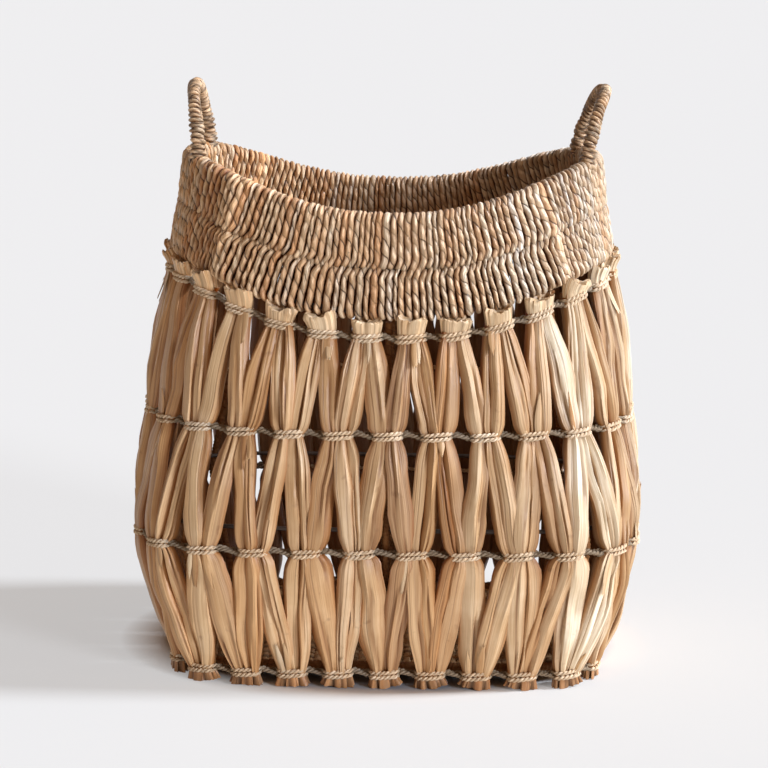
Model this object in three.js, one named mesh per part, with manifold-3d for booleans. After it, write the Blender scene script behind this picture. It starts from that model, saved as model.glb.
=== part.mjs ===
import * as THREE from "three";
import { mergeVertices } from "three/addons/utils/BufferGeometryUtils.js";
import Module from "manifold-3d";

// Oval floor basket: bundles of dried stalks tied on a wire frame, under a collar of wound cord.
// Millimetres, +Z up, the long front towards -Y, the two handles at the -X and +X ends.
// A ring is a superellipse in plan, and its height rises by endRise from the middle of the
// long sides to the ends.

// General clearance between neighbouring solids, and the fit of a wire in its cord channel.
const clearance = 0.3;
const wireFit = 0.3;

// The stalk lattice: bundles round the basket, and how many lie between two front uprights.
const bundleCount = 30;
const frontCount = 8;
const neckWidth = 26;
const neckThickness = 15;
const neckOverlap = 0.4;
const tiedGap = 0.4;
const spanGap = 1.2;
const spanThickness = 16;
const spanBulge = 4;
const headHeight = 15;
const headWidth = 30;
const headThickness = 17;
const tailWidth = 30;
const tailThickness = 18;

// The four tie rows, from the collar down. The first takes its height from the collar.
const firstTieHalfWidth = 199;
const firstTieHalfDepth = 149.5;
const upperTieHalfWidth = 217;
const upperTieHalfDepth = 161;
const upperTieHeight = 234;
const bellyTieHalfWidth = 223.5;
const bellyTieHalfDepth = 163;
const bellyTieHeight = 128;
const footTieHalfWidth = 191;
const footTieHalfDepth = 145;
const footTieHeight = 13;
const twineRadius = 2.4;
const twineFit = 0.8;
const twineHeightShare = 0.87;
const overInset = 4;
const behindInset = 1;
const crossingHalf = 1.5;

// Powers of the rings' outlines: near an ellipse at the rim, squarer at the belly and foot.
const rimPower = 2.3;
const seamPower = 2.4;
const lowerPower = 2.5;
const upperTiePower = 3;
const bellyTiePower = 4.8;
const footTiePower = 6;

// The collar: rim, seam and lower wires, with the cord wound over them in two bands.
const lowerHalfWidth = 196;
const lowerHalfDepth = 147;
const lowerHeight = 339.3;
const lowerEndRise = 42.5;
const lowerBandHeight = 37.7;
const seamHalfWidth = 189;
const seamHalfDepth = 144;
const seamEndRise = 43;
const upperBandHeight = 42;
const rimHalfWidth = 184.5;
const rimHalfDepth = 141;
const rimEndRise = 41;
const rimWireDiameter = 5;
const seamWireDiameter = 4;
const lowerWireDiameter = 5;
const bandWall = 3;
const cordRelief = 0.5;
const seamGap = 0.5;
const collarRibs = 54;

// The frame below the collar, and the floor of the basket.
const uprightDiameter = 7;
const uprightInset = 9.5;
const uprightTopInset = 8.5;
const uprightNeckInset = 11;
const bellyRingHeight = 145;
const bellyRingDiameter = 4;
const baseRingHeight = 14;
const baseRingDiameter = 9;
const baseBarDiameter = 4;
const baseBarDistance = 90;
const baseBarReach = 3;
const matThickness = 5;
const matEdgeBevel = 1;

// The handles: a wire arch that follows the rim in plan, wound with cord from leg to leg. The top
// of each is bent a little towards +X.
const handleSpread = 60;
const handleRise = 62;
const handlePower = 2;
const leftHandleShift = 3.5;
const rightHandleShift = 6;
const handleWireDiameter = 4.5;
const handleCordWidth = 11.5;
const handleCordThickness = 3.3;
const handleTurns = 13;
const handleCordEnd = 2;
const boreSpare = 1;

// Facets.
const ringSteps = 30;
const wireSides = 4;
const roundSides = 6;
const cordSides = 5;
const cordStepsPerTurn = 8;
const handleSteps = 14;
const archSteps = 400;
const outlineSteps = 720;

const stalkColour = 0xcfa877;
const twineColour = 0xdcc79c;
const cordColour = 0xc49a68;
const wireColour = 0x3a2c22;
const matColour = 0xa8784a;

const materials = {
  stalk: new THREE.MeshStandardMaterial({ color: stalkColour, roughness: 0.6, metalness: 0 }),
  twine: new THREE.MeshStandardMaterial({ color: twineColour, roughness: 0.85, metalness: 0 }),
  cord: new THREE.MeshStandardMaterial({ color: cordColour, roughness: 0.7, metalness: 0 }),
  wire: new THREE.MeshStandardMaterial({ color: wireColour, roughness: 0.5, metalness: 0.8 }),
  mat: new THREE.MeshStandardMaterial({ color: matColour, roughness: 0.8, metalness: 0 }),
};

const wasm = await Module();
wasm.setup();

// A ring's outline with its table of arc lengths, so that it can be walked evenly.
function makeRing(halfWidth, halfDepth, power, height, endRise) {
  const ring = { halfWidth, halfDepth, power, height, endRise, points: [], lengths: [0] };
  for (let i = 0; i <= outlineSteps; i++) {
    const angle = (i / outlineSteps) * 2 * Math.PI;
    const across = Math.sin(angle);
    const along = Math.cos(angle);
    const x = halfWidth * Math.sign(across) * Math.abs(across) ** (2 / power);
    const y = -halfDepth * Math.sign(along) * Math.abs(along) ** (2 / power);
    ring.points.push(new THREE.Vector2(x, y));
    if (i > 0) {
      ring.lengths.push(ring.lengths[i - 1] + ring.points[i].distanceTo(ring.points[i - 1]));
    }
  }
  ring.length = ring.lengths[outlineSteps];
  return ring;
}

// The ring's point at a share of its length from the front middle, towards +X.
function outlinePoint(ring, share) {
  const target = (share - Math.floor(share)) * ring.length;
  let low = 0;
  let high = outlineSteps;
  while (high - low > 1) {
    const middle = (low + high) >> 1;
    if (ring.lengths[middle] <= target) low = middle;
    else high = middle;
  }
  const part = (target - ring.lengths[low]) / (ring.lengths[high] - ring.lengths[low]);
  return ring.points[low].clone().lerp(ring.points[high], part);
}

// Height of the ring at a depth y: low along the long sides, high at the ends.
const dipPower = 3.7;
function ringHeight(ring, y) {
  return ring.height + ring.endRise * (1 - Math.min(1, Math.abs(y) / ring.halfDepth) ** dipPower);
}

// Place on the ring, with its tangent and outward normal, both level.
const tangentStep = 0.002;
function placeOn(ring, share) {
  const point = outlinePoint(ring, share);
  const before = outlinePoint(ring, share - tangentStep);
  const after = outlinePoint(ring, share + tangentStep);
  const tangent = new THREE.Vector3(after.x - before.x, after.y - before.y, 0).normalize();
  const normal = new THREE.Vector3(tangent.y, -tangent.x, 0);
  return { point: new THREE.Vector3(point.x, point.y, ringHeight(ring, point.y)), tangent, normal };
}

// A point at tangential, outward and upward offsets from a place.
function offsetFrom(place, sideways, outward, upward) {
  return place.point
    .clone()
    .addScaledVector(place.tangent, sideways)
    .addScaledVector(place.normal, outward)
    .add(new THREE.Vector3(0, 0, upward));
}

function ringBetween(upper, lower, part, bulge) {
  const mix = (a, b) => a + (b - a) * part;
  return makeRing(
    mix(upper.halfWidth, lower.halfWidth) + bulge,
    mix(upper.halfDepth, lower.halfDepth) + bulge,
    mix(upper.power, lower.power),
    mix(upper.height, lower.height),
    mix(upper.endRise, lower.endRise),
  );
}

// Closed solid of vertices and triangles, turned so that its faces look outwards.
function solidFrom(vertices, triangles) {
  let volume = 0;
  for (let i = 0; i < triangles.length; i += 3) {
    const [a, b, c] = [0, 1, 2].map((corner) => vertices[triangles[i + corner]]);
    volume += a.dot(new THREE.Vector3().crossVectors(b, c));
  }
  if (volume < 0) {
    for (let i = 0; i < triangles.length; i += 3) {
      [triangles[i + 1], triangles[i + 2]] = [triangles[i + 2], triangles[i + 1]];
    }
  }
  const geometry = new THREE.BufferGeometry();
  const numbers = vertices.flatMap((vertex) => [vertex.x, vertex.y, vertex.z]);
  geometry.setAttribute("position", new THREE.Float32BufferAttribute(numbers, 3));
  geometry.setIndex(triangles);
  return geometry;
}

// Loft through sections of equal point count, either closed on itself or capped.
function loft(sections, closed) {
  const sides = sections[0].length;
  const vertices = sections.flat();
  const triangles = [];
  const last = closed ? sections.length : sections.length - 1;
  for (let i = 0; i < last; i++) {
    const here = i * sides;
    const there = ((i + 1) % sections.length) * sides;
    for (let j = 0; j < sides; j++) {
      const next = (j + 1) % sides;
      triangles.push(here + j, there + j, there + next);
      triangles.push(here + j, there + next, here + next);
    }
  }
  if (!closed) {
    const end = (sections.length - 1) * sides;
    for (let j = 1; j < sides - 1; j++) {
      triangles.push(0, j, j + 1);
      triangles.push(end, end + j + 1, end + j);
    }
  }
  return solidFrom(vertices, triangles);
}

// Skin over closed curves that may differ in point count, the last joined to the first.
function skinOver(curves) {
  const starts = [];
  let total = 0;
  for (const curve of curves) {
    starts.push(total);
    total += curve.length;
  }
  const triangles = [];
  curves.forEach((curve, i) => {
    const after = (i + 1) % curves.length;
    const here = curve.length;
    const there = curves[after].length;
    let a = 0;
    let b = 0;
    while (a < here || b < there) {
      const from = starts[i] + (a % here);
      const to = starts[after] + (b % there);
      if (b >= there || (a < here && (a + 0.5) * there <= (b + 0.5) * here)) {
        triangles.push(from, starts[i] + ((a + 1) % here), to);
        a++;
      } else {
        triangles.push(from, starts[after] + ((b + 1) % there), to);
        b++;
      }
    }
  });
  return solidFrom(curves.flat(), triangles);
}

// Round sections along points, each square to the path.
function tubeSections(points, radius, sides, closed) {
  return points.map((point, i) => {
    const before = points[closed ? (i - 1 + points.length) % points.length : Math.max(0, i - 1)];
    const after = points[closed ? (i + 1) % points.length : Math.min(points.length - 1, i + 1)];
    const along = new THREE.Vector3().subVectors(after, before).normalize();
    const reference = Math.abs(along.z) > 0.8 ? new THREE.Vector3(0, 1, 0) : new THREE.Vector3(0, 0, 1);
    const side = new THREE.Vector3().crossVectors(along, reference).normalize();
    const up = new THREE.Vector3().crossVectors(side, along);
    return Array.from({ length: sides }, (_, j) => {
      const angle = (j / sides) * 2 * Math.PI;
      return point
        .clone()
        .addScaledVector(side, Math.cos(angle) * radius)
        .addScaledVector(up, Math.sin(angle) * radius);
    });
  });
}

function roundTube(points, radius, sides, closed) {
  return loft(tubeSections(points, radius, sides, closed), closed);
}

function toManifold(geometry) {
  const plain = geometry.clone();
  plain.deleteAttribute("normal");
  plain.deleteAttribute("uv");
  const merged = mergeVertices(plain, 1e-3);
  return new wasm.Manifold(
    new wasm.Mesh({
      numProp: 3,
      vertProperties: merged.attributes.position.array,
      triVerts: new Uint32Array(merged.index.array),
    }),
  );
}

function fromManifold(solid) {
  const mesh = solid.getMesh();
  const geometry = new THREE.BufferGeometry();
  geometry.setAttribute("position", new THREE.Float32BufferAttribute(mesh.vertProperties, 3));
  geometry.setIndex(new THREE.BufferAttribute(mesh.triVerts, 1));
  return geometry;
}

const root = new THREE.Group();
function addPart(name, geometry, material) {
  geometry.computeVertexNormals();
  const mesh = new THREE.Mesh(geometry, material);
  mesh.name = name;
  root.add(mesh);
}

// The rings of the collar and of the ties.
const seamHeight = lowerHeight + lowerBandHeight;
const rimHeight = seamHeight + upperBandHeight;
const rim = makeRing(rimHalfWidth, rimHalfDepth, rimPower, rimHeight, rimEndRise);
const seam = makeRing(seamHalfWidth, seamHalfDepth, seamPower, seamHeight, seamEndRise);
const lower = makeRing(lowerHalfWidth, lowerHalfDepth, lowerPower, lowerHeight, lowerEndRise);
const channelHalf = Math.max(rimWireDiameter, seamWireDiameter, lowerWireDiameter) / 2 + wireFit;
const bandHalf = channelHalf + bandWall;
const collarEdge = lowerHeight - bandHalf - cordRelief;
const firstTieHeight = collarEdge - clearance - headHeight;
const tieRings = [
  makeRing(firstTieHalfWidth, firstTieHalfDepth, lowerPower, firstTieHeight, lowerEndRise),
  makeRing(upperTieHalfWidth, upperTieHalfDepth, upperTiePower, upperTieHeight, 0),
  makeRing(bellyTieHalfWidth, bellyTieHalfDepth, bellyTiePower, bellyTieHeight, 0),
  makeRing(footTieHalfWidth, footTieHalfDepth, footTiePower, footTieHeight, 0),
];
const tieShifts = [0.5, 0, 0.5, 0];
const spanRings = [0, 1, 2].map((row) => ringBetween(tieRings[row], tieRings[row + 1], 0.5, spanBulge));

// Bring a section's corners up to the collar's lower edge, which slopes along the ring.
function seatUnderCollar(section, share) {
  const { point, tangent } = placeOn(tieRings[0], share);
  for (const corner of section) {
    const sideways = corner.clone().sub(point).dot(tangent);
    const edge = placeOn(lower, share + sideways / tieRings[0].length).point.z;
    corner.z = edge - bandHalf - cordRelief - clearance;
  }
}

// Five-sided level section of a half bundle: flat inside, ridged outside.
const flatShare = 0.36;
const sideShare = 0.1;
function stalkSection(place, sideways, outward, upward, width, thickness) {
  const corners = [
    [-flatShare * width, -thickness / 2],
    [flatShare * width, -thickness / 2],
    [width / 2, sideShare * thickness],
    [0, thickness / 2],
    [-width / 2, sideShare * thickness],
  ];
  return corners.map(([across, out]) => offsetFrom(place, sideways + across, outward + out, upward));
}

// One half of a bundle: side -1 leans left below the head, +1 leans right.
function halfBundle(index, side) {
  const own = (index + 0.5) / bundleCount;
  const shared = (index + 0.5 + 0.5 * side) / bundleCount;
  const spanShare = (index + 0.5 + 0.25 * side) / bundleCount;
  const halfNeck = neckWidth / 2;
  const joined = side * (halfNeck - neckOverlap) / 2;
  const tied = -side * (halfNeck + tiedGap) / 2;
  const sections = [];
  const headPlace = placeOn(tieRings[0], own);
  const headSide = side * (headWidth / 2 - neckOverlap) / 2;
  const head = stalkSection(headPlace, headSide, 0, 0, headWidth / 2, headThickness);
  seatUnderCollar(head, own);
  sections.push(head);
  sections.push(stalkSection(headPlace, joined, 0, 0, halfNeck, neckThickness));
  for (let row = 0; row < 3; row++) {
    const span = spanRings[row];
    const spanWidth = span.length / bundleCount / 2 - spanGap;
    sections.push(stalkSection(placeOn(span, spanShare), 0, 0, 0, spanWidth, spanThickness));
    const isJoined = row === 1;
    const place = placeOn(tieRings[row + 1], isJoined ? own : shared);
    sections.push(stalkSection(place, isJoined ? joined : tied, 0, 0, halfNeck, neckThickness));
  }
  const tailPlace = placeOn(tieRings[3], shared);
  const tailSide = -side * (tailWidth / 2 + tiedGap) / 2;
  sections.push(stalkSection(tailPlace, tailSide, 0, -footTieHeight, tailWidth / 2, tailThickness));
  return toManifold(loft(sections, false));
}

for (let index = 0; index < bundleCount; index++) {
  const name = "bundle_" + String(index + 1).padStart(2, "0");
  const bundle = halfBundle(index, -1).add(halfBundle(index, 1));
  addPart(name, fromManifold(bundle), materials.stalk);
}

// Twined pair round a tie row: one strand over each neck and one behind it, which cross in a
// short block between two necks. Sections run top, outside, bottom, inside.
const twineFlat = twineRadius / 2;
const twineHalfHeight = twineRadius * twineHeightShare;
const twineStand = neckThickness / 2 + twineFit + twineFlat;
const outerReach = neckWidth / 2 - overInset;
const innerReach = neckWidth / 2 - behindInset;
function twineRow(ring, shift) {
  const vertices = [];
  const triangles = [];
  const addSection = (place, sideways, corners) => {
    const start = vertices.length;
    for (const [outward, upward] of corners) {
      vertices.push(offsetFrom(place, sideways, outward, upward));
    }
    return corners.map((_, i) => start + i);
  };
  const join = (from, to) => {
    from.forEach((corner, i) => {
      const next = (i + 1) % from.length;
      triangles.push(corner, to[i], to[next], corner, to[next], from[next]);
    });
  };
  const strand = (side) => {
    const base = side * (twineStand - twineFlat);
    const ridge = [side * (twineStand + twineRadius), 0];
    const top = [base, twineHalfHeight];
    const bottom = [base, -twineHalfHeight];
    return side > 0 ? [top, ridge, bottom] : [top, bottom, ridge];
  };
  const depth = twineRadius + twineFlat;
  const block = [[0, twineHalfHeight], [depth, 0], [0, -twineHalfHeight], [-depth, 0]];
  const ties = Array.from({ length: bundleCount }, (_, tie) => {
    const neck = placeOn(ring, (tie + shift) / bundleCount);
    const between = placeOn(ring, (tie + shift + 0.5) / bundleCount);
    return {
      overStart: addSection(neck, -outerReach, strand(1)),
      overEnd: addSection(neck, outerReach, strand(1)),
      behindStart: addSection(neck, -innerReach, strand(-1)),
      behindEnd: addSection(neck, innerReach, strand(-1)),
      crossStart: addSection(between, -crossingHalf, block),
      crossEnd: addSection(between, crossingHalf, block),
    };
  });
  const outerOf = ([top, outside, bottom]) => [top, outside, bottom];
  const innerOf = ([top, , bottom, inside]) => [top, bottom, inside];
  ties.forEach((tie, i) => {
    const next = ties[(i + 1) % bundleCount];
    join(tie.overStart, tie.overEnd);
    join(tie.overEnd, outerOf(tie.crossStart));
    join(tie.behindStart, tie.behindEnd);
    join(tie.behindEnd, innerOf(tie.crossStart));
    join(tie.crossStart, tie.crossEnd);
    join(outerOf(tie.crossEnd), next.overStart);
    join(innerOf(tie.crossEnd), next.behindStart);
  });
  return solidFrom(vertices, triangles);
}

tieRings.forEach((ring, row) => {
  addPart("twine_row_" + (row + 1), twineRow(ring, tieShifts[row]), materials.twine);
});

// Wires round the collar.
function ringPath(ring, outward, upward) {
  return Array.from({ length: ringSteps }, (_, i) => {
    return offsetFrom(placeOn(ring, i / ringSteps), 0, outward, upward);
  });
}
function collarWire(name, ring, diameter) {
  addPart(name, roundTube(ringPath(ring, 0, 0), diameter / 2, wireSides, true), materials.wire);
}
collarWire("rim_wire", rim, rimWireDiameter);
collarWire("seam_wire", seam, seamWireDiameter);
collarWire("collar_lower_wire", lower, lowerWireDiameter);

// Closed curve of a band between its two rings: ribbed where cord shows, plain in the channel.
function bandCurve(ring, outward, upward, relief) {
  const count = relief ? collarRibs * 2 : ringSteps;
  return Array.from({ length: count }, (_, i) => {
    const wave = relief ? relief * (i % 2 ? -1 : 1) : 0;
    const sideways = outward === 0 ? 0 : Math.sign(outward) * wave;
    const raised = outward === 0 ? Math.sign(upward) * wave : 0;
    return offsetFrom(placeOn(ring, i / count), 0, outward + sideways, upward + raised);
  });
}

// Channel of wound cord over an edge wire, open towards the seam. Facing is +1 for the upper band.
function cordBand(edge, facing) {
  const lip = (facing * seamGap) / 2;
  return skinOver([
    bandCurve(seam, bandHalf, lip, cordRelief),
    bandCurve(edge, bandHalf, 0, cordRelief),
    bandCurve(edge, 0, facing * bandHalf, cordRelief),
    bandCurve(edge, -bandHalf, 0, cordRelief),
    bandCurve(seam, -bandHalf, lip, cordRelief),
    bandCurve(seam, -channelHalf, lip, 0),
    bandCurve(edge, -channelHalf, 0, 0),
    bandCurve(edge, 0, facing * channelHalf, 0),
    bandCurve(edge, channelHalf, 0, 0),
    bandCurve(seam, channelHalf, lip, 0),
  ]);
}

// Handle arch over the rim: it follows the rim in plan and rises as a superellipse.
function archPoint(end, part) {
  const angle = part * Math.PI;
  const across = Math.cos(angle);
  const y = handleSpread * Math.sign(across) * Math.abs(across) ** (2 / handlePower);
  const lift = handleRise * Math.abs(Math.sin(angle)) ** (2 / handlePower);
  const depthShare = Math.abs(y) / rimHalfDepth;
  const x = rimHalfWidth * (1 - depthShare ** rim.power) ** (1 / rim.power);
  const bend = (end > 0 ? rightHandleShift : leftHandleShift) * (lift / handleRise) ** 2;
  return new THREE.Vector3(end * x + bend, -y, archFoot + lift);
}
const archFoot = ringHeight(rim, handleSpread) + rimWireDiameter / 2 + clearance;
const handleWireRadius = handleWireDiameter / 2;

function handleCore(end) {
  const points = Array.from({ length: handleSteps + 1 }, (_, i) => archPoint(end, i / handleSteps));
  return roundTube(points, handleWireRadius, roundSides, false);
}

// The arch as evenly walked points, from above one leg's hole to above the other's.
function archWalk(end, count) {
  const fine = Array.from({ length: archSteps + 1 }, (_, i) => archPoint(end, i / archSteps));
  const lengths = [0];
  for (let i = 1; i < fine.length; i++) {
    lengths.push(lengths[i - 1] + fine[i].distanceTo(fine[i - 1]));
  }
  const start = bandHalf - rimWireDiameter / 2 - clearance + handleCordEnd + handleCordWidth / 2;
  const walkLength = lengths[archSteps] - 2 * start;
  return Array.from({ length: count + 1 }, (_, i) => {
    const target = start + (walkLength * i) / count;
    let k = lengths.findIndex((length) => length > target);
    if (k < 1) k = archSteps;
    const part = (target - lengths[k - 1]) / (lengths[k] - lengths[k - 1]);
    return {
      point: fine[k - 1].clone().lerp(fine[k], part),
      along: fine[k].clone().sub(fine[k - 1]).normalize(),
    };
  });
}

// Flat cord wound over the handle wire as one unbroken helix.
function handleWrap(end) {
  const steps = handleTurns * cordStepsPerTurn;
  const walk = archWalk(end, steps);
  const out = new THREE.Vector3(end, 0, 0);
  const chordDrop = 1 / Math.cos(Math.PI / cordStepsPerTurn);
  const coil = (handleWireRadius + clearance + handleCordThickness / 2) * chordDrop;
  const centres = [];
  const sections = walk.map(({ point, along }, i) => {
    const angle = (i / cordStepsPerTurn) * 2 * Math.PI;
    const side = new THREE.Vector3().crossVectors(along, out).normalize();
    const face = new THREE.Vector3().crossVectors(side, along);
    const spoke = face.multiplyScalar(Math.cos(angle)).addScaledVector(side, Math.sin(angle));
    const centre = point.clone().addScaledVector(spoke, coil);
    centres.push(centre);
    return Array.from({ length: cordSides }, (_, j) => {
      const turn = ((j + 0.5) / cordSides) * 2 * Math.PI;
      return centre
        .clone()
        .addScaledVector(along, (Math.sin(turn) * handleCordWidth) / 2)
        .addScaledVector(spoke, (-Math.cos(turn) * handleCordThickness) / 2);
    });
  });
  let least = Infinity;
  for (let i = 0; i < sections.length; i++) {
    const nearby = Math.min(sections.length, i + cordStepsPerTurn + 2);
    for (let k = i + cordStepsPerTurn - 1; k < nearby; k++) {
      for (const a of sections[i]) {
        for (const b of sections[k]) {
          least = Math.min(least, a.distanceTo(b));
        }
      }
    }
  }
  console.log("handle cord, least gap between turns: " + least.toFixed(2) + " mm");
  return loft(sections, false);
}

// Holes through the rim cord for the handle legs.
let upperBand = toManifold(cordBand(rim, 1));
const boreRadius = (handleWireRadius + wireFit) / Math.cos(Math.PI / roundSides);
for (const end of [-1, 1]) {
  for (const leg of [0, 1]) {
    const foot = archPoint(end, leg);
    const boreLength = bandHalf + cordRelief + boreSpare;
    const bore = new THREE.CylinderGeometry(boreRadius, boreRadius, boreLength, roundSides);
    bore.rotateX(Math.PI / 2);
    bore.translate(foot.x, foot.y, foot.z + (bandHalf + cordRelief) / 2);
    upperBand = upperBand.subtract(toManifold(bore));
  }
}
addPart("collar_upper_band", fromManifold(upperBand), materials.cord);
addPart("collar_lower_band", cordBand(lower, -1), materials.cord);

for (const [side, end] of [["left", -1], ["right", 1]]) {
  addPart("handle_wire_" + side, handleCore(end), materials.wire);
  addPart("handle_wrap_" + side, handleWrap(end), materials.cord);
}

// The frame below the collar stands just inside the twine.
const twineInset = twineStand + twineRadius;
const baseRingRadius = baseRingDiameter / 2;
const baseRingInset = twineInset + clearance + baseRingRadius;
const uprightRadius = uprightDiameter / 2;
const tiedInset = twineInset + clearance + uprightRadius;
const [firstTie, upperTie, bellyTie, footTie] = tieRings;
const bellyPart = (bellyRingHeight - bellyTieHeight) / (upperTieHeight - bellyTieHeight);
const bellyRing = ringBetween(bellyTie, upperTie, bellyPart, 0);
const bellyInset = uprightInset + uprightRadius + clearance + bellyRingDiameter / 2;

const sideCount = (bundleCount - 2 * frontCount) / 2;
const uprights = [
  ["front", 0],
  ["front_right", frontCount / 2],
  ["back_right", frontCount / 2 + sideCount],
  ["back", frontCount + sideCount],
  ["back_left", frontCount * 1.5 + sideCount],
  ["front_left", frontCount * 1.5 + 2 * sideCount],
];
for (const [name, phase] of uprights) {
  const share = phase / bundleCount;
  const at = (ring, inset, upward) => offsetFrom(placeOn(ring, share), 0, -inset, upward);
  const points = [
    at(footTie, baseRingInset, baseRingHeight - footTieHeight + baseRingRadius + clearance),
    at(bellyTie, uprightInset, 0),
    at(bellyRing, uprightInset, 0),
    at(upperTie, tiedInset, 0),
    at(firstTie, uprightNeckInset, 0),
    at(firstTie, uprightTopInset, headHeight),
  ];
  const sections = tubeSections(points, uprightRadius, roundSides, false);
  seatUnderCollar(sections[points.length - 1], share);
  addPart("upright_" + name, loft(sections, false), materials.cord);
}

const bellyPath = ringPath(bellyRing, -bellyInset, 0);
addPart("belly_ring", roundTube(bellyPath, bellyRingDiameter / 2, cordSides, true), materials.wire);
const basePath = ringPath(footTie, -baseRingInset, baseRingHeight - footTieHeight);
addPart("base_ring", roundTube(basePath, baseRingRadius, roundSides, true), materials.cord);

// Cross bars under the base ring, and the woven mat that lies on them inside the ring.
const barRadius = baseBarDiameter / 2;
const barHeight = baseRingHeight - baseRingRadius - clearance - barRadius;
const ringDepthAt = (x) => {
  const widthShare = Math.abs(x) / (footTieHalfWidth - baseRingInset);
  const depthShare = (1 - widthShare ** footTie.power) ** (1 / footTie.power);
  return (footTieHalfDepth - baseRingInset) * depthShare;
};
[-1, 0, 1].forEach((step, i) => {
  const x = step * baseBarDistance;
  const length = 2 * (ringDepthAt(x) + baseBarReach);
  const bar = new THREE.CylinderGeometry(barRadius, barRadius, length, roundSides);
  bar.translate(x, 0, barHeight);
  addPart("base_bar_" + (i + 1), bar, materials.wire);
});

const matInset = baseRingInset + baseRingRadius + clearance;
const matBottom = barHeight + barRadius + clearance - footTieHeight;
const matSections = [
  [matInset + matEdgeBevel, matBottom],
  [matInset, matBottom + matEdgeBevel],
  [matInset, matBottom + matThickness - matEdgeBevel],
  [matInset + matEdgeBevel, matBottom + matThickness],
].map(([inset, upward]) => ringPath(footTie, -inset, upward));
addPart("base_mat", loft(matSections, false), materials.mat);

export default root;
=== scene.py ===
from math import pi, radians

import bpy
import numpy as np
from mathutils import Matrix, Vector


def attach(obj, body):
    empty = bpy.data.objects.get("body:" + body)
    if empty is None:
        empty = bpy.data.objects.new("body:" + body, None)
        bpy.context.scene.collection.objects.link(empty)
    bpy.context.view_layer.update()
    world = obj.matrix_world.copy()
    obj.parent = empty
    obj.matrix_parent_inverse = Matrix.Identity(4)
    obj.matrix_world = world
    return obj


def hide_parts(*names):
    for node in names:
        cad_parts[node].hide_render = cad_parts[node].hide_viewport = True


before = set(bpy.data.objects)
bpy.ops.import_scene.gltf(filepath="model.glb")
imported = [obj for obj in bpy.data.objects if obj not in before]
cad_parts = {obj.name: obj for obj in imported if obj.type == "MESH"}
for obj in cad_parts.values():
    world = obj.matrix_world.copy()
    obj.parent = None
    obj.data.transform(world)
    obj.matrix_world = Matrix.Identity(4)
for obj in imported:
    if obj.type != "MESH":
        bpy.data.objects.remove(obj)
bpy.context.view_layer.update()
chance = np.random.default_rng(41)
print("frame loaded, nodes:", len(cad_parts))


# The basket's rings in metres, as its solids have them: half width, half depth, power of the
# outline, height, and how far the ends rise above the long sides.
rings = {
    "rim": (0.1845, 0.141, 2.3, 0.419, 0.041),
    "seam": (0.189, 0.144, 2.4, 0.377, 0.043),
    "lower": (0.196, 0.147, 2.5, 0.3393, 0.0425),
    "head": (0.199, 0.1495, 2.5, 0.3177, 0.0425),
    "upper": (0.217, 0.161, 3.0, 0.234, 0.0),
    "belly": (0.2235, 0.163, 4.8, 0.128, 0.0),
    "foot": (0.191, 0.145, 6.0, 0.013, 0.0),
}
ringPoints = 2881
levelPower = 3.7  # the higher, the shorter the level part of a long side before the ends rise
bundleCount = 30
up = np.array([0.0, 0.0, 1.0])

# The winding cords: how far round one is and how long one twist of it is, for the modelled
# twist and for the lines drawn on it.
cordGirth = 0.012
cordLay = 0.0125
wrapGirth = 0.009


# Rings

def makeRing(halfWidth, halfDepth, power, height, endRise):
    angle = np.linspace(0, 2 * pi, ringPoints)
    across, along = np.sin(angle), np.cos(angle)
    x = halfWidth * np.sign(across) * np.abs(across) ** (2 / power)
    y = -halfDepth * np.sign(along) * np.abs(along) ** (2 / power)
    length = np.concatenate([[0], np.cumsum(np.hypot(np.diff(x), np.diff(y)))])
    return {"x": x, "y": y, "length": length, "around": length[-1], "halfDepth": halfDepth,
            "halfWidth": halfWidth, "power": power, "height": height, "endRise": endRise}


def pointOn(ring, share):
    walked = (np.asarray(share) % 1.0) * ring["around"]
    x = np.interp(walked, ring["length"], ring["x"])
    y = np.interp(walked, ring["length"], ring["y"])
    level = np.minimum(1, np.abs(y) / ring["halfDepth"]) ** levelPower
    return np.stack([x, y, ring["height"] + ring["endRise"] * (1 - level)], -1)


# Points on a ring at shares of its length from the front middle, with tangents and normals.
def placeOn(ring, share):
    share = np.atleast_1d(np.asarray(share, float))
    tangent = pointOn(ring, share + 0.002) - pointOn(ring, share - 0.002)
    tangent[:, 2] = 0
    tangent /= np.linalg.norm(tangent, axis=1)[:, None]
    normal = np.stack([tangent[:, 1], -tangent[:, 0], tangent[:, 2]], -1)
    return pointOn(ring, share), tangent, normal


# Same, part of the way from one ring to another.
def placeBetween(first, second, share, part):
    a, tangentA, normalA = placeOn(first, share)
    b, tangentB, normalB = placeOn(second, share)
    part = np.atleast_1d(part)[:, None]
    tangent = tangentA + (tangentB - tangentA) * part
    normal = normalA + (normalB - normalA) * part
    tangent /= np.linalg.norm(tangent, axis=1)[:, None]
    normal /= np.linalg.norm(normal, axis=1)[:, None]
    return a + (b - a) * part, tangent, normal


ring = {name: makeRing(*sizes) for name, sizes in rings.items()}
tieRings = [ring["head"], ring["upper"], ring["belly"], ring["foot"]]


# Paths and swept strands

def walkedLength(path):
    return np.concatenate([[0], np.cumsum(np.linalg.norm(np.diff(path, axis=0), axis=1))])


# Points or directions at some lengths along a path.
def sampleAt(target, walked, values):
    return np.stack([np.interp(target, walked, values[:, k]) for k in range(3)], -1)


def sharesRound(count):
    return np.arange(count) / count


def anglesRound(sides):
    return sharesRound(sides) * 2 * pi


# Frames along a path, as near as they can be to a wanted outward direction.
def framesOn(path, outward, closed=False):
    if closed:
        along = np.roll(path, -1, 0) - np.roll(path, 1, 0)
    else:
        along = np.gradient(path, axis=0)
    along /= np.linalg.norm(along, axis=1)[:, None]
    out = outward - along * np.sum(outward * along, 1)[:, None]
    out /= np.linalg.norm(out, axis=1)[:, None]
    return np.cross(out, along), out, along


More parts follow.
